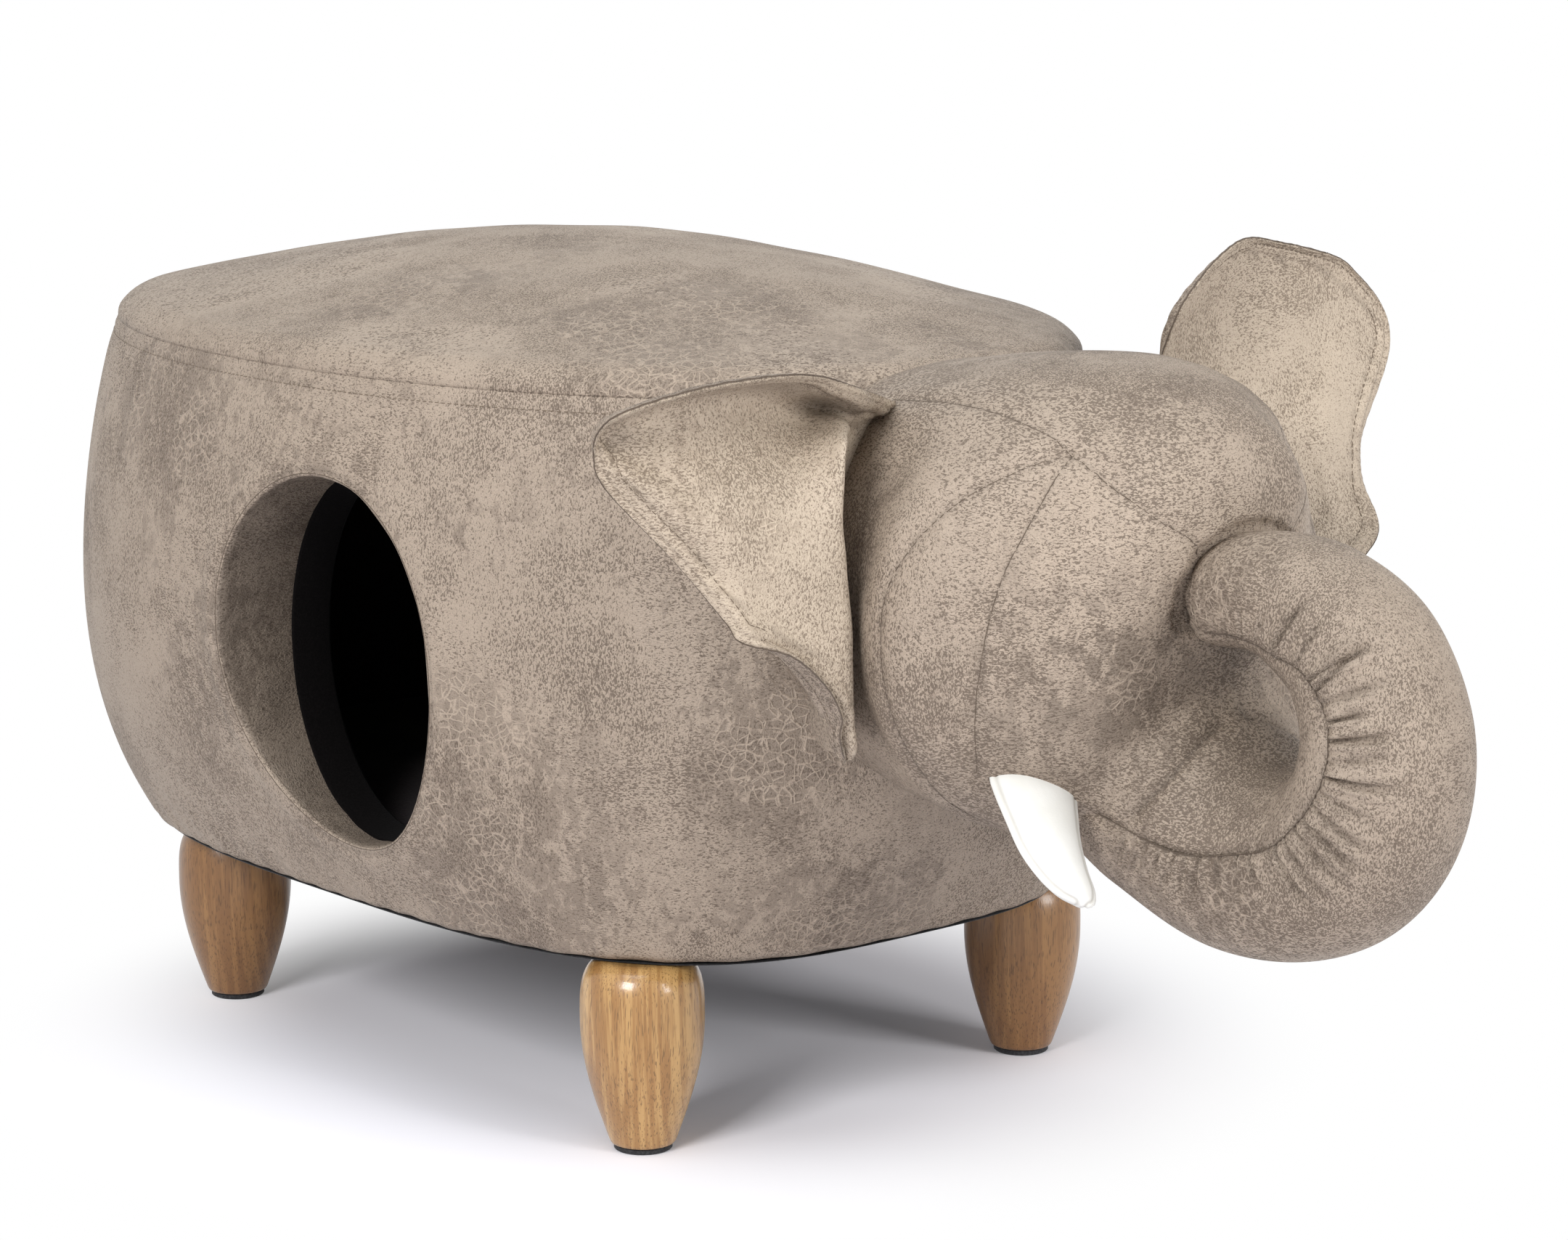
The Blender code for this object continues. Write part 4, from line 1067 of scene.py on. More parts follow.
# Root to tip: place along the stool, height, half thickness in the curl, half width
TRUNK_STATIONS = (
    (-0.335, 0.252, 0.055, 0.066),
    (-0.385, 0.228, 0.054, 0.064),
    (-0.430, 0.203, 0.050, 0.059),
    (-0.473, 0.184, 0.045, 0.052),
    (-0.515, 0.189, 0.042, 0.046),
    (-0.541, 0.215, 0.039, 0.042),
    (-0.5475, 0.251, 0.0365, 0.039),
    (-0.533, 0.284, 0.034, 0.036),
    (-0.505, 0.302, 0.031, 0.0345),
    (-0.482, 0.307, 0.028, 0.0340),
    (-0.466, 0.306, 0.0265, 0.0335),
)
TRUNK_TIP = (-0.4445, 0.3045)
# Shares of the way from the last station to the tip, and of the section there
TIP_SHARES = ((0.50, 1.0), (0.80, 0.975), (0.94, 0.87), (0.988, 0.55), (1.0, 0.04))
TRUNK_SQUARENESS = 2.15
CURL_STATION = 3
POLE_SHARE = 0.04
# Only points in front of this place and below this height can lie on the trunk
TRUNK_ZONE = (-0.36, 0.36)
FAR_OFF = 9.0


def trunk_path():
    """Trunk's middle line as rows (length along it, y, z, half thickness, half width, tangent y, z)."""
    stations = [np.array(station) for station in TRUNK_STATIONS]
    last = stations[-1]
    for share, size in TIP_SHARES:
        place = last[:2] + (np.array(TRUNK_TIP) - last[:2]) * share
        stations.append(np.array([*place, *(last[2:] * size)]))
    places = np.linspace(0, len(stations) - 1, 2801)
    line = smooth_at(stations, places)
    lengths = run_lengths(line[:, :2])
    tangent = np.gradient(line[:, :2], axis=0)
    tangent /= np.maximum(np.linalg.norm(tangent, axis=1), 1e-9)[:, None]
    curl = np.interp(CURL_STATION, places, lengths)
    return np.column_stack([lengths, line, tangent]), float(curl)


TRUNK_PATH, CURL_LENGTH = trunk_path()
TRUNK_LENGTH = float(TRUNK_PATH[-1, 0])


def trunk_values(length):
    return [np.interp(length, TRUNK_PATH[:, 0], TRUNK_PATH[:, column]) for column in range(1, 7)]


def on_trunk(length, across, inward):
    """Point at a length along the curled trunk, off its middle line sideways and into the curl."""
    y, z, _, _, along_y, along_z = trunk_values(length)
    return np.stack([across, y + along_z * inward, z - along_y * inward], axis=-1)


def trunk_ring(turn, length):
    _, _, thick, wide, _, _ = trunk_values(length)
    cosine, sine, reach = section(turn, TRUNK_SQUARENESS)
    return wide * reach * cosine, thick * reach * sine


def past_pole(v):
    """Share of the way past the rounded end at v = 0, and how far a section there is open."""
    opened = np.where(v >= 1, 0, np.clip(v / POLE_SHARE, 0, 1))
    return np.clip((v - POLE_SHARE) / (1 - POLE_SHARE), 0, 1), opened


def head_surface(u, v):
    """Closed head form: a pole, the stations, a pole."""
    share, opened = past_pole(v)
    place, wide, top, underside, square = smooth_at(HEAD_STATIONS, share * (len(HEAD_STATIONS) - 1)).T
    cosine, sine, reach = section(FULL_TURN * u, square)
    reach = reach * opened
    z = (top + underside) / 2 + (top - underside) / 2 * reach * sine
    return np.stack([wide * reach * cosine, place, z], axis=-1)


def opened_trunk_surface(u, v):
    """Closed trunk form, kept straight past the bottom of the curl: it meets the head at its root."""
    share, opened = past_pole(v)
    length = share * TRUNK_LENGTH
    across, inward = trunk_ring(FULL_TURN * u, length)
    curled = on_trunk(np.minimum(length, CURL_LENGTH), across * opened, inward * opened)
    ahead = np.maximum(length - CURL_LENGTH, 0)
    curled[:, 1:] += ahead[:, None] * trunk_values(CURL_LENGTH)[4:]
    return curled


def curl_up(points):
    """Points of the opened trunk moved onto its real, curled middle line."""
    y, z, _, _, along_y, along_z = trunk_values(CURL_LENGTH)
    ahead = (points[:, 1] - y) * along_y + (points[:, 2] - z) * along_z
    inward = (points[:, 1] - y) * along_z - (points[:, 2] - z) * along_y
    moved = on_trunk(CURL_LENGTH + np.clip(ahead, 0, TRUNK_LENGTH - CURL_LENGTH), points[:, 0], inward)
    return np.where((ahead > 0)[:, None], moved, points)


def trunk_place(points):
    """Length along the trunk, offset into the curl, and share of the section's reach, for points near it."""
    path = TRUNK_PATH[::8]
    length = np.zeros(len(points))
    inward = np.full(len(points), -1.0)
    reach = np.full(len(points), FAR_OFF)
    near = np.nonzero((points[:, 1] < TRUNK_ZONE[0]) & (points[:, 2] < TRUNK_ZONE[1]))[0]
    for chunk in np.array_split(near, max(len(near) // 4000, 1)):
        x, y, z = points[chunk].T
        gap = (y[:, None] - path[:, 1]) ** 2 + (z[:, None] - path[:, 2]) ** 2
        along, path_y, path_z, thick, wide, along_y, along_z = path[gap.argmin(1)].T
        length[chunk] = along
        inward[chunk] = (y - path_y) * along_z - (z - path_z) * along_y
        shares = np.abs(x / wide) ** TRUNK_SQUARENESS + np.abs(inward[chunk] / thick) ** TRUNK_SQUARENESS
        reach[chunk] = shares ** (1 / TRUNK_SQUARENESS)
    return length, inward, reach


# Seams of the head's right side, from the ear to the face and round the cheek
GUSSET_SEAM = (
    (-0.0795, -0.308, 0.3855),
    (-0.0816, -0.3307, 0.3852),
    (-0.0811, -0.3591, 0.3862),
    (-0.0791, -0.3853, 0.3835),
    (-0.0739, -0.4079, 0.3767),
    (-0.0708, -0.4193, 0.3691),
    (-0.0634, -0.4388, 0.3559),
    (-0.0523, -0.4553, 0.3430),
    (-0.0360, -0.4600, 0.3326),
    (-0.0240, -0.4560, 0.3200),
)
CHEEK_FRONT_SEAM = (
    (-0.0708, -0.4193, 0.3691),
    (-0.0839, -0.4187, 0.3556),
    (-0.0971, -0.4164, 0.3364),
    (-0.1067, -0.4126, 0.3172),
    (-0.1124, -0.4091, 0.2940),
    (-0.1142, -0.4051, 0.2681),
    (-0.1119, -0.4010, 0.2474),
    (-0.1041, -0.3944, 0.2229),
)
CHEEK_ARC_SEAM = (
    (-0.0708, -0.4193, 0.3691),
    (-0.0867, -0.4079, 0.3641),
    (-0.1044, -0.3960, 0.3550),
    (-0.1186, -0.3856, 0.3433),
    (-0.1286, -0.3769, 0.3288),
    (-0.1369, -0.3702, 0.3110),
    (-0.1399, -0.3678, 0.2914),
    (-0.1375, -0.3683, 0.2654),
    (-0.1290, -0.3693, 0.2425),
    (-0.1128, -0.3688, 0.2180),
    (-0.0900, -0.3680, 0.1980),
    (-0.0600, -0.3670, 0.1850),
    (0.0, -0.3670, 0.1790),
)
TRUNK_CREASE = (
    (-0.0552, -0.4453, 0.2056),
    (-0.0472, -0.4555, 0.2197),
    (-0.0325, -0.4591, 0.2333),
    (-0.0093, -0.4556, 0.2445),
)
# Gather seam: length along the trunk and offset into the curl
GATHER_SEAM = (
    (0.070, -0.006),
    (0.095, -0.002),
    (0.123, 0.0038),
    (0.1585, 0.0097),
    (0.183, 0.0125),
    (0.2136, 0.0101),
    (0.2318, 0.0083),
    (0.2613, 0.0016),
    (0.275, -0.0003),
    (0.2842, -0.0009),
    (0.2974, 0.0015),
    (0.3117, 0.0055),
    (0.3283, 0.0113),
    (0.345, 0.0150),
    (0.370, 0.0165),
    (0.397, 0.0165),
)
PANEL_ROOT = 0.078
PANEL_TIP = 0.3905
SKIN_VOXEL = 0.0025
MEETING_REACH = 0.011
NECK_WAIST = 0.010
NECK_TUCK = 0.004
CURL_FILL = 0.022
CURL_FILL_LENGTH = 0.268
CURL_FILL_REACH = 0.050
FAR_BROW = (0.085, -0.424, 0.338)
FAR_BROW_REACH = (0.09, 0.060, 0.055)
FAR_BROW_TUCK = 0.0145
TIP_SIDE = (-0.050, -0.440, 0.312)
TIP_SWELL = 0.006
TIP_REACH = 0.020
FAR_CHEEK = (0.072, -0.427, 0.226)
CHEEK_SWELL = 0.010
CHEEK_REACH = 0.030
UNDERSIDE_SINK = 0.0042
GATHER_SINK = 0.0016
WORN_REACH = 0.022
SPOTS_REACH = (0.07, 0.05, 0.045)
PALER_PATCH_REACH = (0.06, 0.05, 0.05)
# Grooves along the head's seams: route, width, depth, swell beside it, the swell's reach, shade
HEAD_GROOVES = (
    (GUSSET_SEAM, 0.0016, 0.0009, 0.0007, 0.010, 0.55),
    (CHEEK_FRONT_SEAM, 0.0015, 0.0008, 0.0007, 0.010, 0.55),
    (CHEEK_ARC_SEAM, 0.0018, 0.0011, 0.0010, 0.011, 0.55),
    (TRUNK_CREASE, 0.0018, 0.0024, 0.0014, 0.009, 0.9),
)


def gather_inward(length):
    """Offset of the gather seam into the curl at a length along the trunk."""
    line = smooth_at(GATHER_SEAM, np.linspace(0, len(GATHER_SEAM) - 1, 400))
    return np.interp(length, line[:, 0], line[:, 1])


def gather_turn(length):
    """Turn of the gather seam round the trunk's section, on its left side."""
    _, _, thick, _, _, _ = trunk_values(length)
    share = np.clip(gather_inward(length) / thick, -0.95, 0.95)
    across = (1 - np.abs(share) ** TRUNK_SQUARENESS) ** (1 / TRUNK_SQUARENESS)
    return np.arctan2(share, across)


def gather_route(length):
    turn = gather_turn(length)
    across, inward = trunk_ring(turn, length)
    return on_trunk(length, -across, inward)


def body_front(x, z):
    """Place along the stool of the body's front face."""
    length, width, squareness, centre = side_values(np.clip(z, BASE_Z, SEAM_Z))
    reach = np.clip(1 - np.abs(x / width) ** squareness, 0, 1) ** (1 / squareness)
    return centre - length * reach


def make_skin():
    head = laid_grid("head_and_trunk_skin", 150, 150, head_surface)
    head_tree = tree_of(head)
    trunk = laid_grid("opened_trunk", 110, 170, opened_trunk_surface)
    trunk_tree = tree_of(trunk)
    only(head)
    trunk.select_set(True)
    bpy.ops.object.join()
    joined = head.modifiers.new("one skin", "REMESH")
    joined.mode = "VOXEL"
    joined.voxel_size = SKIN_VOXEL
    bpy.ops.object.modifier_apply(modifier=joined.name)
    points = points_of(head)
    gaps = []
    for tree in (head_tree, trunk_tree):
        gaps.append([tree.find_nearest(tuple(point))[3] for point in points])
    meeting = bump(np.max(gaps, axis=0) / MEETING_REACH)
    relaxed(head, np.full(len(points), 1.0), 3, 0.6)
    relaxed(head, meeting, 26, 0.9)
    relaxed(head, np.full(len(points), 0.6), 2, 0.5)
    set_points(head, curl_up(points_of(head)))
    return head


def brow_tucked(points):
    """Points of the head with its far brow pulled in."""
    pull = FAR_BROW_TUCK * nearness(points, FAR_BROW, FAR_BROW_REACH) * ramp(points[:, 0], 0.02, 0.06)
    return points - pull[:, None] * [1, 0, 0]


def neck_waist(points):
    """How much each point of the head is drawn in beside the neck."""
    x, y, z = points.T
    upright = ramp(z, 0.19, 0.24) * (1 - ramp(z, 0.36, 0.395))
    return NECK_WAIST * ramp(y, -0.372, -0.340) * upright * ramp(np.abs(x), 0.06, 0.11)


def shape_neck(skin):
    """Tuck the head behind the body's front face, with a waist at the neck and the far brow drawn in."""
    points = points_of(skin)
    front = body_front(points[:, 0], points[:, 2]) + NECK_TUCK
    points[:, 1] = np.where(points[:, 2] < SEAM_Z, np.minimum(points[:, 1], front), points[:, 1])
    points[:, 0] -= np.sign(points[:, 0]) * neck_waist(points)
    points = brow_tucked(points)
    set_points(skin, points)
    return points


def trunk_underside(points):
    """Height and shade of the trunk's underside, set in between its gather seams, and its calm share."""
    length, inward, reach = trunk_place(points)
    off = inward - gather_inward(length)
    on_it = (reach < 1.2) & (length > 0.02)
    under = on_it * ramp(length, 0.080, 0.112) * ramp(-off, -0.0005, 0.006)
    height = -UNDERSIDE_SINK * under
    groove = ramp(length, 0.085, 0.11) * GATHER_SINK * bump(off / 0.0022)
    height -= on_it * (under < 0.5) * groove
    inner = on_it * ramp(off, 0.0, 0.012) * bump((length - CURL_FILL_LENGTH) / CURL_FILL_REACH)
    height += CURL_FILL * inner * ramp(points[:, 0], -0.005, 0.020)
    # painted shade along the gather seam's groove
    shade = on_it * (length > 0.1) * 0.5 * bump(off / 0.0016)
    return height, shade, 1 - ramp(length, 0.09, 0.13) * on_it


def dress_head():
    skin = make_skin()
    points = shape_neck(skin)
    tree = tree_of(skin)
    right = points.copy()
    right[:, 0] = -np.abs(right[:, 0])
    height, shade, calm = trunk_underside(points)
    for route, width, depth, puff, reach, dark in HEAD_GROOVES:
        near = distance_to(right, on_surface(resampled(route, SEAM_SPACING), tree)[0])
        height += puff * bump((near - reach) / (reach * 0.7)) - depth * bump(near / width)
        # dark seam lines and painted shade in each groove and in the trunk's fold
        shade = np.maximum(shade, dark * bump(near / 0.0012))
    height += TIP_SWELL * nearness(points, TIP_SIDE, TIP_REACH)
    height += CHEEK_SWELL * nearness(points, FAR_CHEEK, CHEEK_REACH)
    height += 0.0008 * waves(points, 0.07, 21) * (0.4 + 0.6 * calm)
    height += 0.0004 * waves(points, 0.022, 22) * calm
    raised(skin, points, normals_of(skin), height)
    # Paler patch on the upper face, with fewer flakes and sparser grain there
    paler_patch = nearness(right, PALER_FACE_PATCH, PALER_PATCH_REACH)
    paint(skin, "seams_and_painted_shade", np.clip(shade, 0, 1))
    paint_wear(skin, HEAD_WORN, WORN_REACH)
    paint(skin, "spotted", nearness(right, FACE_SPOTS, SPOTS_REACH))
    paint(skin, "dense", 0.8 - 0.5 * paler_patch)
    paint(skin, "paler_patch", paler_patch * (right[:, 1] < -0.40))
    tree = tree_of(skin)
    finished(skin, TAUPE, ["head_cover", "head_stuffing", "trunk_cover", "trunk_stuffing"])
    routes = [GUSSET_SEAM, CHEEK_FRONT_SEAM, CHEEK_ARC_SEAM]
    routes += [brow_tucked(np.array(mirrored(route))) for route in routes]
    seam_cord("head_seams", routes, tree, 0.00028, 0.0001)


# Pleats: length along the trunk, slant, depth, reach
PLEATS = (
    (0.1220, 0.02, 0.0007, 0.015),
    (0.1322, -0.05, 0.0009, 0.017),
    (0.1420, -0.18, 0.0009, 0.016),
    (0.1492, -0.17, 0.0011, 0.018),
    (0.1568, -0.16, 0.0008, 0.019),
    (0.1636, -0.10, 0.0021, 0.015),
    (0.1747, 0.02, 0.0009, 0.017),
    (0.1860, -0.05, 0.0011, 0.018),
    (0.1945, 0.10, 0.0017, 0.014),
    (0.2076, -0.02, 0.0010, 0.022),
    (0.2133, -0.10, 0.0016, 0.030),
    (0.2212, -0.14, 0.0013, 0.028),
    (0.2294, -0.12, 0.0014, 0.032),
    (0.2371, -0.13, 0.0016, 0.036),
    (0.2463, -0.24, 0.0013, 0.034),
    (0.2534, -0.18, 0.0009, 0.027),
    (0.2604, -0.02, 0.0022, 0.034),
    (0.2671, 0.10, 0.0010, 0.024),
    (0.2759, -0.02, 0.0024, 0.026),
    (0.2839, 0.02, 0.0019, 0.018),
    (0.2916, 0.02, 0.0010, 0.033),
    (0.2980, 0.24, 0.0018, 0.038),
    (0.3041, 0.0, 0.0022, 0.038),
    (0.3136, 0.25, 0.0012, 0.023),
    (0.3274, 0.30, 0.0013, 0.014),
    (0.3288, 0.04, 0.0020, 0.027),
    (0.3420, 0.10, 0.0008, 0.016),
    (0.3560, 0.05, 0.0006, 0.014),
)
PLEAT_DEPTH_SHARE = 1.5
PLEAT_REACH_SHARE = 1.35
PLEAT_FULL_SHADE = 0.0018
PLEAT_WIDTH = 0.0008
PLEAT_OPENING = 0.022
# How far a pleat may run from its seam on the trunk's right and left side
PLEAT_LIMITS = (0.040, 0.020)
PANEL_ROWS = 400
PANEL_COLUMNS = 120
PANEL_SINK = 0.0030
PANEL_RISE = 0.0034
PANEL_DENSE = 0.7


def pleat_height(length, off, limit):
    """Folds that start at the gather seam and open out over the trunk's outer side."""
    height = np.zeros(len(length))
    shade = np.zeros(len(length))
    for place, slant, depth, reach in PLEATS:
        far = np.minimum(reach * PLEAT_REACH_SHARE, limit)
        fade = (1 - ramp(off, far * 0.55, far)) * ramp(off, -0.001, 0.003)
        near = np.abs(length - place - slant * off) / (PLEAT_WIDTH + PLEAT_OPENING * off)
        height -= depth * np.exp(-(near**1.3)) * fade
        height += 0.55 * depth * bump((near - 2.3) / 1.2) * fade
        # painted shade inside each fold
        shade = np.maximum(shade, np.exp(-near) * fade * np.clip(depth / PLEAT_FULL_SHADE, 0, 1))
    return height, shade


def panel_surface(u, v):
    """Outer side of the trunk from one gather seam round to the other, with more columns at the seams."""
    length = PANEL_ROOT + (PANEL_TIP - PANEL_ROOT) * v
    edge = gather_turn(length)
    warped = 0.5 + 0.5 * np.sin(math.pi * (u - 0.5)) * 0.35 + 0.65 * (u - 0.5)
    turn = math.pi - edge + (math.pi + 2 * edge) * warped
    across, inward = trunk_ring(turn, length)
    return on_trunk(length, across, inward)


def dress_trunk_panel():
    """Outer trunk panel, gathered along both of its seams."""
    panel = laid_grid("outer_trunk_panel", PANEL_COLUMNS, PANEL_ROWS, panel_surface)
    points = points_of(panel)
    length, _, _ = trunk_place(points)
    normals = turned_towards(panel, points - on_trunk(length, 0 * length, 0 * length))
    seam = gather_route(length)
    seam[:, 0] *= -np.sign(points[:, 0] + 1e-9)
    off = np.linalg.norm(points - seam, axis=1)
    rising = ramp(length, PANEL_ROOT, PANEL_ROOT + 0.035)
    folds, shade = pleat_height(length, off, np.where(points[:, 0] < 0, *PLEAT_LIMITS))
    puckers = np.sin(length * 1500 + 2 * np.sin(length * 310)) * bump(off / 0.007)
    height = PANEL_RISE * rising - PANEL_SINK - 0.0012 * bump(off / 0.0022)
    height += (0.0008 * bump((off - 0.006) / 0.004) + 0.00022 * puckers) * rising
    height += PLEAT_DEPTH_SHARE * folds + 0.0006 * waves(points, 0.05, 31) * rising
    height -= 0.0015 * ramp(length, PANEL_TIP - 0.006, PANEL_TIP)
    raised(panel, points, normals, height)
    paint(panel, "dense", np.full(len(points), PANEL_DENSE))
    # Painted shade in the pleats and along the gather seams
    paint(panel, "seams_and_painted_shade", np.clip(shade * 0.9 + 0.5 * bump(off / 0.0012), 0, 1))
    paint_wear(panel, HEAD_WORN, WORN_REACH)
    thickened(panel, 0.0012)
    tree = tree_of(panel)
    finished(panel, TAUPE)
    route = gather_route(np.linspace(0.093, 0.372, 120))
    seam_cord("gather_seams", [route, route * [-1, 1, 1]], tree, 0.00034, 0.0)


dress_head()
dress_trunk_panel()


# Ears

# Nets of the ears' middle surface, each row from the rim inwards: rim, under the rim, middle, fold.
# Rows run from the top of the root round the rim to the bottom of the root, with x outwards.
NEAR_EAR_NET = (
    ((0.0850, -0.316, 0.3840), (0.0837, -0.315, 0.3825), (0.0805, -0.312, 0.3810), (0.0769, -0.309, 0.3796)),
    ((0.1164, -0.333, 0.3936), (0.1148, -0.331, 0.3884), (0.1064, -0.323, 0.3831), (0.0983, -0.316, 0.3791)),
    ((0.1411, -0.343, 0.4009), (0.1372, -0.338, 0.3944), (0.1253, -0.325, 0.3868), (0.1197, -0.323, 0.3793)),
    ((0.1576, -0.346, 0.4053), (0.1527, -0.328, 0.3968), (0.1328, -0.314, 0.3850), (0.1403, -0.345, 0.3760)),
    ((0.1780, -0.346, 0.4074), (0.1718, -0.322, 0.3980), (0.1480, -0.318, 0.3800), (0.1463, -0.350, 0.3687)),
    ((0.2202, -0.344, 0.4058), (0.2098, -0.319, 0.3958), (0.1729, -0.330, 0.3670), (0.1506, -0.353, 0.3460)),
    ((0.2569, -0.334, 0.3976), (0.2421, -0.314, 0.3872), (0.1964, -0.335, 0.3548), (0.1501, -0.353, 0.3244)),
    ((0.2631, -0.322, 0.3882), (0.2503, -0.311, 0.3800), (0.2041, -0.336, 0.3485), (0.1496, -0.353, 0.3160)),
    ((0.2602, -0.314, 0.3755), (0.2505, -0.316, 0.3709), (0.2101, -0.338, 0.3417), (0.1491, -0.353, 0.3087)),
    ((0.2535, -0.314, 0.3603), (0.2453, -0.317, 0.3588), (0.2093, -0.339, 0.3336), (0.1487, -0.353, 0.3009)),
    ((0.2244, -0.326, 0.3261), (0.2194, -0.330, 0.3280), (0.1959, -0.343, 0.3142), (0.1469, -0.353, 0.2850)),
    ((0.2094, -0.343, 0.2995), (0.2035, -0.346, 0.3021), (0.1836, -0.349, 0.2945), (0.1451, -0.353, 0.2720)),
    ((0.2073, -0.351, 0.2916), (0.2001, -0.351, 0.2949), (0.1797, -0.351, 0.2867), (0.1446, -0.353, 0.2666)),
    ((0.1845, -0.359, 0.2839), (0.1810, -0.348, 0.2814), (0.1677, -0.350, 0.2729), (0.1428, -0.352, 0.2561)),
    ((0.1629, -0.358, 0.2669), (0.1616, -0.344, 0.2625), (0.1529, -0.346, 0.2569), (0.1406, -0.350, 0.2460)),
    ((0.1507, -0.355, 0.2506), (0.1467, -0.341, 0.2427), (0.1436, -0.344, 0.2407), (0.1383, -0.348, 0.2375)),
    ((0.1476, -0.350, 0.2402), (0.1427, -0.340, 0.2338), (0.1396, -0.342, 0.2330), (0.1365, -0.346, 0.2329)),
    ((0.1374, -0.342, 0.2248), (0.1356, -0.339, 0.2247), (0.1352, -0.340, 0.2255), (0.1347, -0.342, 0.2275)),
)
FAR_EAR_NET = (
    ((0.0906, -0.316, 0.3891), (0.0963, -0.312, 0.3870), (0.1018, -0.309, 0.3851), (0.1081, -0.306, 0.3832)),
    ((0.0910, -0.323, 0.4048), (0.0998, -0.312, 0.4047), (0.1292, -0.300, 0.3967), (0.1357, -0.302, 0.3781)),
    ((0.0980, -0.325, 0.4183), (0.1109, -0.311, 0.4160), (0.1435, -0.297, 0.4043), (0.1505, -0.302, 0.3768)),
    ((0.1277, -0.316, 0.4343), (0.1428, -0.304, 0.4283), (0.1673, -0.296, 0.4104), (0.1694, -0.303, 0.3718)),
    ((0.1580, -0.307, 0.4425), (0.1676, -0.300, 0.4353), (0.1795, -0.297, 0.4107), (0.1734, -0.304, 0.3692)),
    ((0.1856, -0.303, 0.4389), (0.1903, -0.298, 0.4330), (0.1903, -0.298, 0.4077), (0.1773, -0.305, 0.3678)),
    ((0.2332, -0.300, 0.4279), (0.2315, -0.297, 0.4225), (0.2086, -0.300, 0.3983), (0.1820, -0.307, 0.3630)),
    ((0.2497, -0.301, 0.4174), (0.2463, -0.298, 0.4128), (0.2163, -0.301, 0.3920), (0.1844, -0.308, 0.3606)),
    ((0.2648, -0.302, 0.4035), (0.2585, -0.300, 0.4003), (0.2212, -0.303, 0.3848), (0.1859, -0.309, 0.3576)),
    ((0.2699, -0.305, 0.3892), (0.2626, -0.303, 0.3872), (0.2216, -0.306, 0.3769), (0.1875, -0.310, 0.3547)),
    ((0.2632, -0.310, 0.3725), (0.2558, -0.308, 0.3729), (0.2175, -0.310, 0.3683), (0.1880, -0.312, 0.3502)),
    ((0.2380, -0.318, 0.3426), (0.2281, -0.319, 0.3443), (0.2059, -0.319, 0.3447), (0.1900, -0.316, 0.3377)),
    ((0.2328, -0.320, 0.3293), (0.2208, -0.323, 0.3302), (0.2028, -0.323, 0.3314), (0.1915, -0.318, 0.3273)),
    ((0.2281, -0.327, 0.3141), (0.2184, -0.328, 0.3141), (0.2023, -0.327, 0.3168), (0.1929, -0.321, 0.3159)),
    ((0.2230, -0.343, 0.2950), (0.2180, -0.339, 0.2956), (0.2012, -0.334, 0.2992), (0.1928, -0.327, 0.2992)),
    ((0.2045, -0.350, 0.2823), (0.2012, -0.346, 0.2844), (0.1946, -0.338, 0.2888), (0.1850, -0.330, 0.2916)),
    ((0.1760, -0.349, 0.2650), (0.1740, -0.346, 0.2670), (0.1690, -0.340, 0.2710), (0.1620, -0.332, 0.2740)),
    ((0.1520, -0.344, 0.2430), (0.1510, -0.342, 0.2440), (0.1480, -0.338, 0.2460), (0.1450, -0.332, 0.2480)),
    ((0.1380, -0.338, 0.2220), (0.1375, -0.337, 0.2230), (0.1365, -0.335, 0.2240), (0.1350, -0.330, 0.2250)),
)
EAR_ROOT_TOP = (0.080, -0.304, 0.384)
EAR_ROOT_BOTTOM = (0.122, -0.306, 0.226)
EAR_ROOT_BULGE = 0.018
EAR_ROOT_POWER = 0.6
EAR_COLUMNS = 120
EAR_ROWS = 230
EAR_HALF_THICKNESS = 0.0011
EAR_EDGE_THICKNESS = 0.0003
EAR_EDGE_WIDTH = 0.003
EAR_LEATHER = 0.0010
RIM_ROLL = 0.0034
RIM_SWELL = 0.0009
RIM_SWELL_OFF = 0.0050
RIM_STITCH_OFF = 0.0095
RIM_GATHER = 0.00022
RIM_POINTS = 600
RIM_ENDS = 30
EAR_PINCH = (-0.122, -0.326, 0.386)
PINCH_REACH = 0.020
PINCH_DEPTH = 0.0016
# Painted shade band under the folded ear's rolled-over top: its middle off the rim, and its width
SHADE_BAND_OFF = 0.017
SHADE_BAND_WIDTH = 0.0085


def ear_net(net, folded):
    """Rows of points from the root on the head to the rim."""
    rows = []
    for index, row in enumerate(net):
        share = index / (len(net) - 1)
        root = np.array(EAR_ROOT_TOP) + (np.array(EAR_ROOT_BOTTOM) - EAR_ROOT_TOP) * share
        root[0] += EAR_ROOT_BULGE * abs(math.sin(math.pi * share)) ** EAR_ROOT_POWER
        rim, under, middle, fold = (np.array(point) for point in row)
        wall = (fold + root) / 2
        if folded:
            wall[0] = 0.7 * fold[0] + 0.3 * root[0]
        rows.append([root, wall, fold, middle, under, rim])
    return np.array(rows)


def on_net(net, u, v):
    """Smooth surface through a net: u across its columns and v down its rows."""
    columns = np.array([smooth_at(row, u * (len(row) - 1)) for row in net])
    last = len(net) - 1
    place = np.clip(v, 0, 1) * last
    index = np.minimum(place.astype(int), last - 1)
    each = np.arange(len(u))
    around = [columns[np.clip(index + step, 0, last), each] for step in (-1, 0, 1, 2)]
    return through(around, (place - index)[:, None])


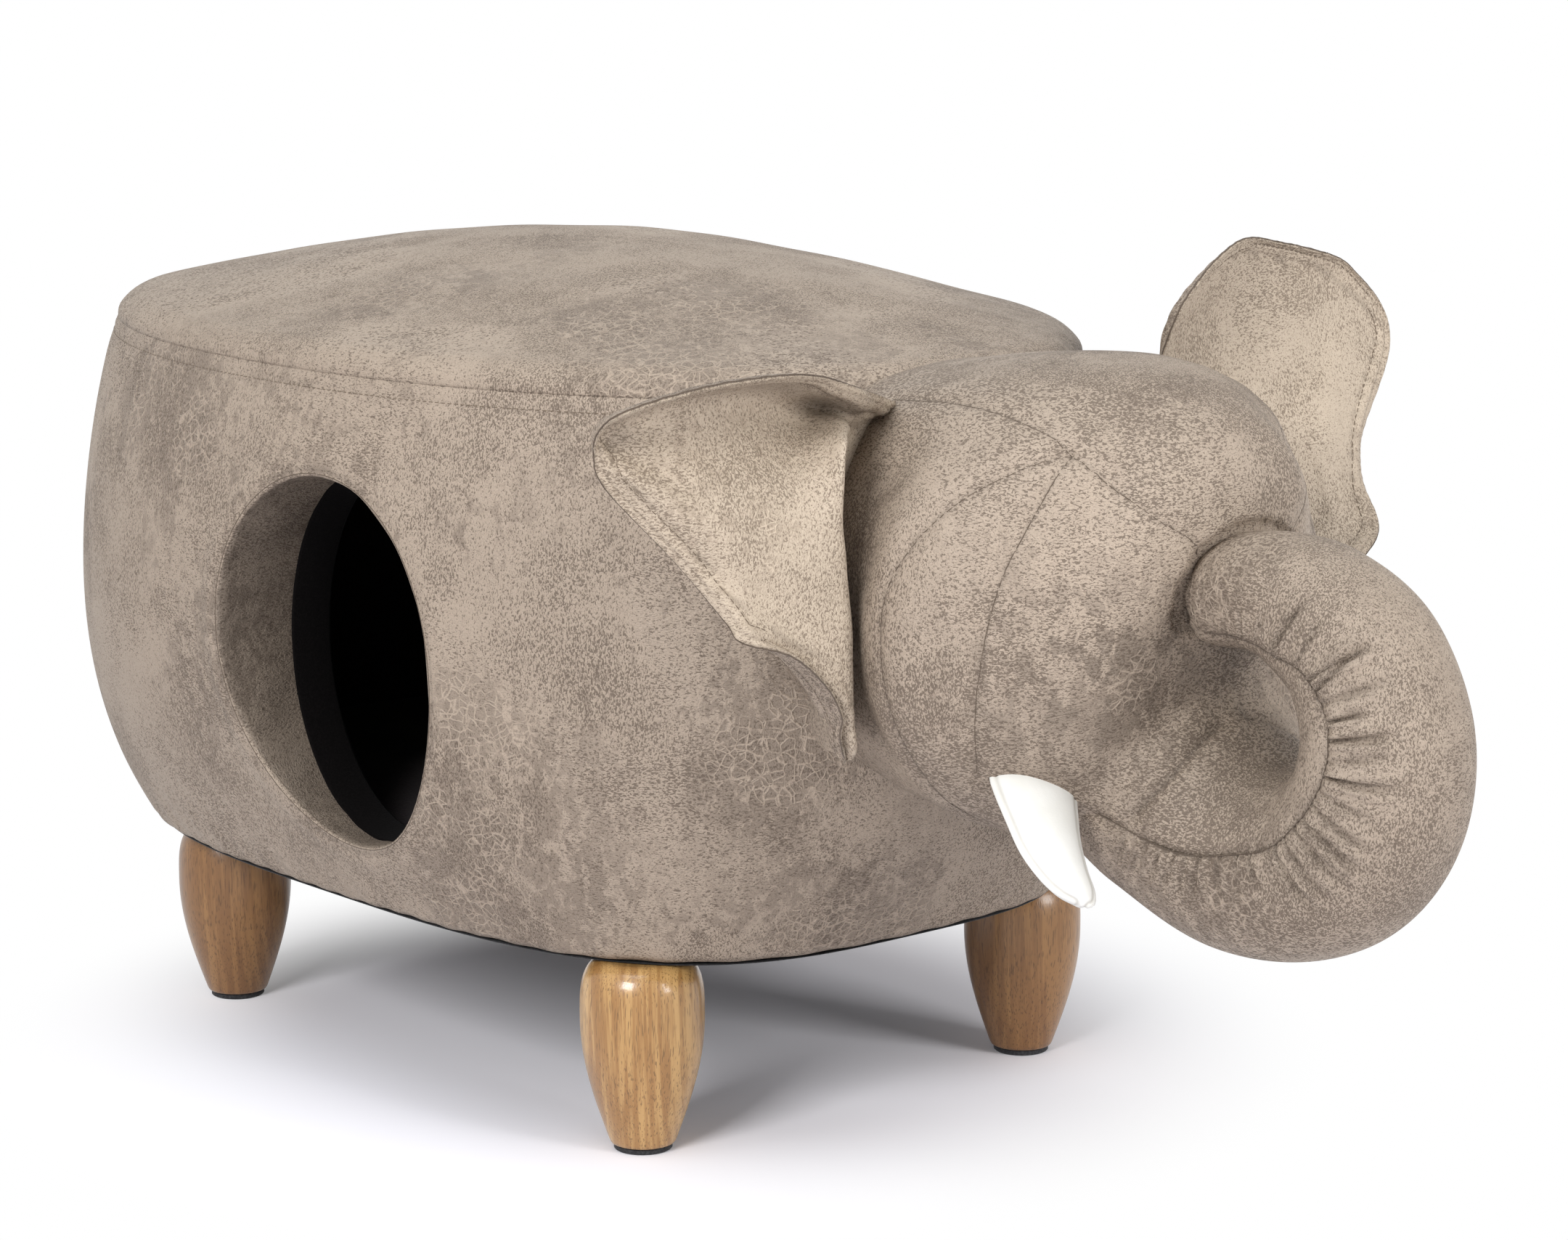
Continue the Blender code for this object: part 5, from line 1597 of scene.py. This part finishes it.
def dress_ear_panel(name, surface, rim_line, direction, folded):
    """One panel of an ear, rolled and gathered at the rim, with its outside towards +Y or -Y."""
    panel = laid_grid(name, EAR_COLUMNS, EAR_ROWS, surface)
    relaxed(panel, np.full(len(points_of(panel)), 0.5), 3)
    points = points_of(panel)
    normals = turned_towards(panel, (0, direction, 0))
    off = distance_to(points, rim_line[::2])
    rim_share = np.sqrt(np.clip(off / EAR_EDGE_WIDTH, 0, 1))
    height = EAR_EDGE_THICKNESS + (EAR_HALF_THICKNESS - EAR_EDGE_THICKNESS) * rim_share
    height += RIM_SWELL * bump((off - RIM_SWELL_OFF) / 0.0032)
    height -= 0.0005 * bump((off - RIM_STITCH_OFF) / 0.0014) + 0.0005 * bump((off - RIM_ROLL) / 0.0008)
    gather = np.sin(points @ np.array([310.0, 170.0, 420.0]) + 1.5 * waves(points, 0.03, 43))
    uneven = 0.0010 * waves(points, 0.045, 41) + 0.0004 * waves(points, 0.016, 42)
    height -= direction * RIM_GATHER * gather * bump((off - 0.0085) / 0.006)
    height -= direction * uneven * ramp(off, 0.012, 0.03)
    # Painted shade in the rim roll's groove, at the rim's edge and between the gathers
    shade = 0.30 * bump((off - RIM_ROLL) / 0.0008) + 0.45 * bump(off / 0.0008)
    shade += 0.5 * np.clip(gather, 0, 1) * bump((off - RIM_STITCH_OFF) / 0.0026)
    if folded:
        pinched = nearness(points, EAR_PINCH, PINCH_REACH)
        height -= direction * PINCH_DEPTH * np.sin(points @ np.array([260.0, 60.0, 330.0])) * pinched
        # painted shade in a band under the rolled top and in the pinch
        rolled = bump((off - SHADE_BAND_OFF) / SHADE_BAND_WIDTH) * ramp(points[:, 2], 0.372, 0.384)
        shade += 0.42 * rolled + 0.35 * pinched
    raised(panel, points, normals, height)
    paint(panel, "seams_and_painted_shade", np.clip(shade, 0, 1))
    tree = tree_of(panel)
    thickened(panel, EAR_LEATHER)
    return panel, tree


def dress_ear(place, net, side, folded):
    net = ear_net(net, folded)

    def surface(u, v):
        return on_net(net, u, v) * [side, 1, 1]

    down = np.linspace(0, 1, RIM_POINTS)
    rim_line = surface(np.ones(RIM_POINTS), down)
    inward = surface(np.full(RIM_POINTS, 0.9), down) - rim_line
    inward /= np.maximum(np.linalg.norm(inward, axis=1), 1e-6)[:, None]
    stitch_line = (rim_line + inward * RIM_STITCH_OFF)[RIM_ENDS:-RIM_ENDS]
    for layer, material, slot, direction in (
        ("front", PALE, "pale_leather", -1),
        ("back", TAUPE, "taupe_leather", 1),
    ):
        name = f"{place}_ear_{layer}"
        panel, tree = dress_ear_panel(f"{name}_panel", surface, rim_line, direction, folded)
        finished(panel, material, [name])
        stitched(f"{name}_stitches", [stitch_line], tree)
    seam_cord(f"{place}_ear_rim_seam", [rim_line[6:-6:4]], tree, 0.0004, 0.0002)


dress_ear("left", FAR_EAR_NET, 1, False)
dress_ear("right", NEAR_EAR_NET, -1, True)


# Tusks

# Root to point: place, half width, half thickness, on the left side
TUSK_STATIONS = (
    (0.0761, -0.4033, 0.2244, 0.0210, 0.0060),
    (0.0828, -0.4093, 0.2165, 0.0210, 0.0075),
    (0.0858, -0.4141, 0.2107, 0.0202, 0.0078),
    (0.0898, -0.4234, 0.1999, 0.0179, 0.0075),
    (0.0929, -0.4333, 0.1889, 0.0162, 0.0068),
    (0.0932, -0.4414, 0.1802, 0.0140, 0.0057),
    (0.0932, -0.4470, 0.1745, 0.0100, 0.0043),
    (0.0920, -0.4500, 0.1715, 0.0045, 0.0024),
    (0.0915, -0.4508, 0.1706, 0.0005, 0.0003),
)
TUSK_WIDE_AXIS = (-0.816, -0.484, -0.315)
TUSK_SHARPNESS = 1.15
TUSK_LIP = 0.035
TUSK_LIP_POWER = 30
TUSK_SEAM_OFF = 0.0026


def dress_tusk(place, side):
    wide_axis = np.array(TUSK_WIDE_AXIS) / np.linalg.norm(TUSK_WIDE_AXIS)
    last = len(TUSK_STATIONS) - 1

    def surface(u, v):
        place_on = v * last
        values = smooth_at(TUSK_STATIONS, place_on)
        ahead = smooth_at(TUSK_STATIONS, place_on + 0.02) - smooth_at(TUSK_STATIONS, place_on - 0.02)
        thick_axis = np.cross(wide_axis, ahead[:, :3])
        thick_axis /= np.linalg.norm(thick_axis, axis=1)[:, None]
        wide, thick = np.cos(FULL_TURN * u), np.sin(FULL_TURN * u)
        lip = 1 + TUSK_LIP * np.abs(wide) ** TUSK_LIP_POWER
        thick = np.sign(thick) * np.abs(thick) ** TUSK_SHARPNESS
        end = np.where((v <= 0) | (v >= 1), 0, 1)
        points = values[:, :3] + wide_axis * (values[:, 3] * wide * lip * end)[:, None]
        points += thick_axis * (values[:, 4] * thick * end)[:, None]
        return points * [side, 1, 1]

    tusk = laid_grid(f"{place}_tusk_cover", 96, 90, surface)
    points = points_of(tusk)
    middles = np.array(TUSK_STATIONS)[:-1]
    off = []
    for edge in (-1, 1):
        rim = (middles[:, :3] + wide_axis * (middles[:, 3] * edge)[:, None]) * [side, 1, 1]
        off.append(distance_to(points, resampled(rim, 0.001)))
    off = np.minimum(*off) - TUSK_SEAM_OFF
    raised(tusk, points, normals_of(tusk), -0.0007 * bump(off / 0.0010))
    # Dark seam line and painted shade in the seam's groove
    paint(tusk, "seams_and_painted_shade", 0.8 * bump(off / 0.0009))
    finished(tusk, WHITE_VINYL, [f"{place}_tusk"])


dress_tusk("left", 1)
dress_tusk("right", -1)


# Legs

LEG_PLACES = {"front": -0.1818, "rear": 0.1818}
LEG_X = 0.1297
LEG_LENGTH = 0.0946
LEG_MAX_RADIUS = 0.031
LEG_FOOT_RADIUS = 0.0162
LEG_TOP_RADIUS = 0.019
LEG_WIDEST_SHARE = 0.684
LEG_SHOULDER_SQUARENESS = 3.4
LEG_TURNS = 128
LEG_RINGS = 90
# Profiles (radius off the foot's, height) of the leg's rounded foot, and (radius, height) of the felt
FOOT_EDGE = ((0.0002, 0.0009), (-0.0003, 0.0002), (-0.0012, 0.0))
FELT_PROFILE = ((0, 0.003), (0.0143, 0.003), (0.0146, 0.0026), (0.0146, 0.0006), (0.0141, 0.0001), (0, 0.0))


def leg_radius(share):
    if share < LEG_WIDEST_SHARE:
        rise = math.sin(math.pi / 2 * share / LEG_WIDEST_SHARE)
        return LEG_FOOT_RADIUS + (LEG_MAX_RADIUS - LEG_FOOT_RADIUS) * rise
    past = (share - LEG_WIDEST_SHARE) / (1 - LEG_WIDEST_SHARE)
    fall = math.sqrt(max(1 - past**LEG_SHOULDER_SQUARENESS, 0))
    return LEG_TOP_RADIUS + (LEG_MAX_RADIUS - LEG_TOP_RADIUS) * fall


def turned(name, profile, steps):
    """Solid turned round the upright axis from a profile of (radius, height)."""
    points = [(radius, 0, height) for radius, height in profile]
    mesh = bpy.data.meshes.new(name)
    mesh.from_pydata(points, [(index, index + 1) for index in range(len(points) - 1)], [])
    obj = bpy.data.objects.new(name, mesh)
    bpy.context.scene.collection.objects.link(obj)
    only(obj)
    lathe = obj.modifiers.new("lathe", "SCREW")
    lathe.steps = steps
    lathe.render_steps = steps
    lathe.use_merge_vertices = True
    bpy.ops.object.modifier_apply(modifier=lathe.name)
    return welded(obj)


def dress_leg(end, side, across, material):
    shares = [1 - (1 - step / LEG_RINGS) ** 2 for step in range(1, LEG_RINGS)][::-1]
    profile = [(0, LEG_LENGTH), (LEG_TOP_RADIUS / 2, LEG_LENGTH)]
    profile += [(leg_radius(share), LEG_LENGTH * share) for share in [1.0, *shares]]
    profile += [(LEG_FOOT_RADIUS + off, rise) for off, rise in FOOT_EDGE]
    profile += [(LEG_FOOT_RADIUS / 2, 0.0), (0, 0.0)]
    leg = turned(f"turned_leg_{end}_{side}", profile, LEG_TURNS)
    set_points(leg, points_of(leg) + [across, LEG_PLACES[end], LEG_BOTTOM_Z])
    finished(leg, material, [f"leg_{end}_{side}"], 50)
    pad = turned(f"felt_{end}_{side}", FELT_PROFILE, 64)
    set_points(pad, points_of(pad) + [across, LEG_PLACES[end], 0])
    finished(pad, FELT, [f"foot_pad_{end}_{side}"], 40)


# The near front leg gets the leg wood, the other three its copy with painted shade
for leg_end in LEG_PLACES:
    dress_leg(leg_end, "left", LEG_X, SHADED_LEG_WOOD)
    dress_leg(leg_end, "right", -LEG_X, LEG_WOOD if leg_end == "front" else SHADED_LEG_WOOD)


# Entrance, cabin and underside

TUBE_TURNS = 280
REVEAL_STEPS = 14
REVEAL_START = 0.0045
REVEAL_END = 0.006
REVEAL_WRINKLE = 0.00055
# Rings of the reveal's rolled start: growth of the oval, depth behind the side
REVEAL_LIP = ((0.0014, 0.0012), (0.0006, 0.0011), (0.0, 0.0016), (-0.0004, 0.0028), (-0.0006, 0.0045))
# Rings of the black edging: growth of the oval, share of the way through the wall
EDGING_RINGS = ((-0.0006, 0.0), (-0.0012, 0.06), (-0.0012, 0.5), (-0.0012, 0.94), (-0.0006, 1.0))
EDGING_START = 0.0065
EDGING_OVERLAP = 0.0013
EDGING_CLOTH = 0.001


def wall_x(y, inset):
    length, width, squareness, centre = BASE_OUTLINE
    off = np.abs(y - centre) / (length - inset)
    return -(width - inset) * (1 - off**squareness) ** (1 / squareness)


def entrance_tube(name, rings):
    """Tube round the entrance from rings of (growth, place from the outside in, ripple)."""
    turn = even_turns(TUBE_TURNS)
    ripples = np.sin(turn * 31 + 2 * np.sin(3 * turn)) * 0.5 + np.sin(turn * 13 + 1) * 0.5
    points = []
    for growth, x_of, ripple in rings:
        y, z = entrance_oval(turn, growth + ripple * ripples)
        points.append(np.stack([x_of(y, z), y, z], axis=-1))
    tube = add_mesh(name, np.concatenate(points), tube_faces(0, TUBE_TURNS, len(rings)))
    turned_towards(tube, ([0, *ENTRANCE[:2]] - points_of(tube)) * [0, 1, 1])
    return tube


def skin_x(y, z):
    return entrance_at(y, z, 0)[:, 0]


def dress_reveal():
    rings = []
    for growth, depth in REVEAL_LIP:
        rings.append((growth, lambda y, z, d=depth: skin_x(y, z) + d, 0))

    def inwards(share):
        def place(y, z):
            start, end = skin_x(y, z) + REVEAL_START, wall_x(y, WALL_SETBACK) - REVEAL_END
            return start * (1 - share) + end * share

        return place

    for step in range(1, REVEAL_STEPS + 1):
        share = step / REVEAL_STEPS
        ripple = REVEAL_WRINKLE * math.sin(math.pi * share) ** 0.5
        rings.append((-0.0006 + 0.0010 * share, inwards(share), ripple))
    sleeve = entrance_tube("entrance_reveal", rings)
    points = points_of(sleeve)
    raised(sleeve, points, normals_of(sleeve), 0.0006 * waves(points, 0.02, 51))
    behind = points[:, 0] - skin_x(points[:, 1], points[:, 2])
    # Painted shade over the whole reveal, darker deeper into the entrance
    paint(sleeve, "seams_and_painted_shade", 0.64 + 0.32 * ramp(behind, 0.004, 0.04))
    thickened(sleeve, LEATHER)
    finished(sleeve, TAUPE, ["entrance_sleeve"])


def dress_edging():
    inner = WALL_SETBACK + WALL_THICKNESS + EDGING_OVERLAP
    rings = []
    for growth, share in EDGING_RINGS:
        rings.append((growth, lambda y, z, s=share: wall_x(y, inner * s) - EDGING_START * (1 - s), 0))
    edging = entrance_tube("entrance_binding", rings)
    thickened(edging, EDGING_CLOTH)
    finished(edging, BINDING, ["entrance_edging"])


dress_reveal()
dress_edging()


PADDING_INSET = 0.0024
SEAT_TOP_Z = 0.367
SEAT_FOAM_DROP = 0.0030
WALL_INNER = WALL_SETBACK + WALL_THICKNESS
GAP = 0.0003
RING_COLUMNS = 240
FOAM_RINGS = 22
CUTTER_TURNS = 160
CUTTER_REACH = (-0.30, -0.08)
LINING_CLOTH = 0.001
CABIN_CORNER = 0.004
CABIN_MIDDLE = 0.10
MAT_SETBACK = 0.009
# The mat's edge from underneath, over its rounded rim: inset, rise
MAT_EDGE = (
    (0.09, 0.0),
    (0.006, 0.0),
    (0.002, 0.0016),
    (0.0, 0.005),
    (0.0, 0.0110),
    (0.002, 0.0140),
    (0.006, 0.0158),
)
MAT_TOP_STEPS = 22
MAT_TOP_STEP = 0.0066
ring_turns = even_turns(RING_COLUMNS)


def ring_piece(name, rings, ends):
    """Mesh through rings of points round the body, joined to a closed tube or with capped ends."""
    faces = tube_faces(0, len(rings[0]), len(rings), ends)
    return welded(add_mesh(name, np.concatenate(rings), faces))


def entrance_cut(obj, growth):
    """Cut the entrance's oval out of a piece on the right side."""
    y, z = entrance_oval(even_turns(CUTTER_TURNS), growth)
    rings = [np.stack([x + 0 * y, y, z], axis=-1) for x in CUTTER_REACH]
    cutter = ring_piece("entrance_cutter", rings, "capped")
    only(obj)
    hole = obj.modifiers.new("hole", "BOOLEAN")
    hole.operation = "DIFFERENCE"
    hole.solver = "EXACT"
    hole.object = cutter
    bpy.ops.object.modifier_apply(modifier=hole.name)
    bpy.data.objects.remove(cutter)


def side_ring(z, inset):
    return side_at(ring_turns, np.full(RING_COLUMNS, z), inset)


def upright_ring(z, inset):
    return upright_at(ring_turns, z, inset)


def dress_foam():
    levels = np.linspace(FLOOR_Z + GAP, SEAT_TOP_Z, FOAM_RINGS)
    rings = [side_ring(z, PADDING_INSET) for z in levels]
    rings += [upright_ring(z, WALL_SETBACK - GAP) for z in levels[::-1]]
    wrap = ring_piece("foam_wrap", rings, "joined")
    entrance_cut(wrap, LEATHER + 0.0005)
    pads = [f"{place}_pad" for place in ("front", "rear", "left", "right")]
    finished(wrap, FOAM, pads, 40)
    rings = [side_ring(z, PADDING_INSET) for z in np.linspace(SEAT_TOP_Z + GAP, SEAM_Z - 0.0008, 5)]
    for share in (0.985, 0.975, 0.96, 0.93, *np.linspace(0.88, 0.04, 24)):
        rings.append(crown_at(ring_turns, np.full(RING_COLUMNS, share)) - [0, 0, SEAT_FOAM_DROP])
    seat = ring_piece("seat_foam_crown", rings, "capped")
    finished(seat, FOAM, ["seat_foam"], 40)


def dress_lining():
    low = FLOOR_Z + GAP
    high = CEILING_Z - GAP
    inset = WALL_INNER + GAP
    rings = [upright_ring(low, inset + CABIN_MIDDLE), upright_ring(low, inset + CABIN_CORNER)]
    rings += [upright_ring(z, inset) for z in np.linspace(low + 0.003, high - 0.003, 30)]
    rings += [upright_ring(high, inset + CABIN_CORNER), upright_ring(high, inset + CABIN_MIDDLE)]
    lining = ring_piece("cabin_cloth_lining", rings, "capped")
    points = points_of(lining)
    sag = -0.0006 * (1 + waves(points, 0.05, 61)) * (points[:, 2] > low + 0.01)
    raised(lining, points, normals_of(lining), sag)
    thickened(lining, LINING_CLOTH)
    entrance_cut(lining, 0.0013)
    finished(lining, CABIN_CLOTH, ["cabin_lining"], 40)


def dress_mat():
    base = FLOOR_Z + GAP + 0.0013
    profile = list(MAT_EDGE)
    for step in range(1, MAT_TOP_STEPS + 1):
        rise = 0.0160 + 0.003 * (1 - (1 - step / MAT_TOP_STEPS) ** 2)
        profile.append((0.006 + step * MAT_TOP_STEP, rise))
    rings = [upright_ring(base + rise, WALL_INNER + MAT_SETBACK + inset) for inset, rise in profile]
    mat = ring_piece("padded_mat", rings, "capped")
    points = points_of(mat)
    above = ramp(points[:, 2], base + 0.012, base + 0.016)
    points[:, 2] += 0.0009 * waves(points, 0.05, 62) * above
    set_points(mat, points)
    finished(mat, CABIN_CLOTH, ["pet_mat"], 60)


DUST_INSET = 0.003
DUST_Z = 0.0990
DUST_SAG = 0.0003


def dust_surface(u, v):
    points = upright_at(FULL_TURN * u, DUST_Z + 0 * u, DUST_INSET, 1 - v)
    points[:, 2] -= DUST_SAG * (1 + waves(points, 0.06, 71)) * ramp(v, 0.0, 0.2)
    return points


def dress_dust_cover():
    """One flat cloth under the base board, with a little sag between its staples."""
    cloth = laid_grid("dust_cloth", RING_COLUMNS, 50, dust_surface)
    turned_towards(cloth, (0, 0, 1))
    thickened(cloth, 0.0006)
    finished(cloth, BLACK_CLOTH, ["dust_cover"])


dress_foam()
dress_lining()
dress_mat()
dress_dust_cover()

# Hidden solids that keep their own form
CAD_FINISHES = {
    "board": PINE,
    "zinc_steel": ZINC,
    "foam": FOAM,
    "fibre_fill": FOAM,
    "taupe_leather": TAUPE,
    "pale_leather": PALE,
    "white_vinyl": WHITE_VINYL,
    "black_cloth": BLACK_CLOTH,
    "felt": FELT,
    "lacquered_wood": LEG_WOOD,
}
slots = {row["node"]: row["material_slot"] for row in frame["record"]["subparts"]}
for node_name, node in frame["nodes"].items():
    node.data.materials.clear()
    node.data.materials.append(CAD_FINISHES[slots[node_name]])
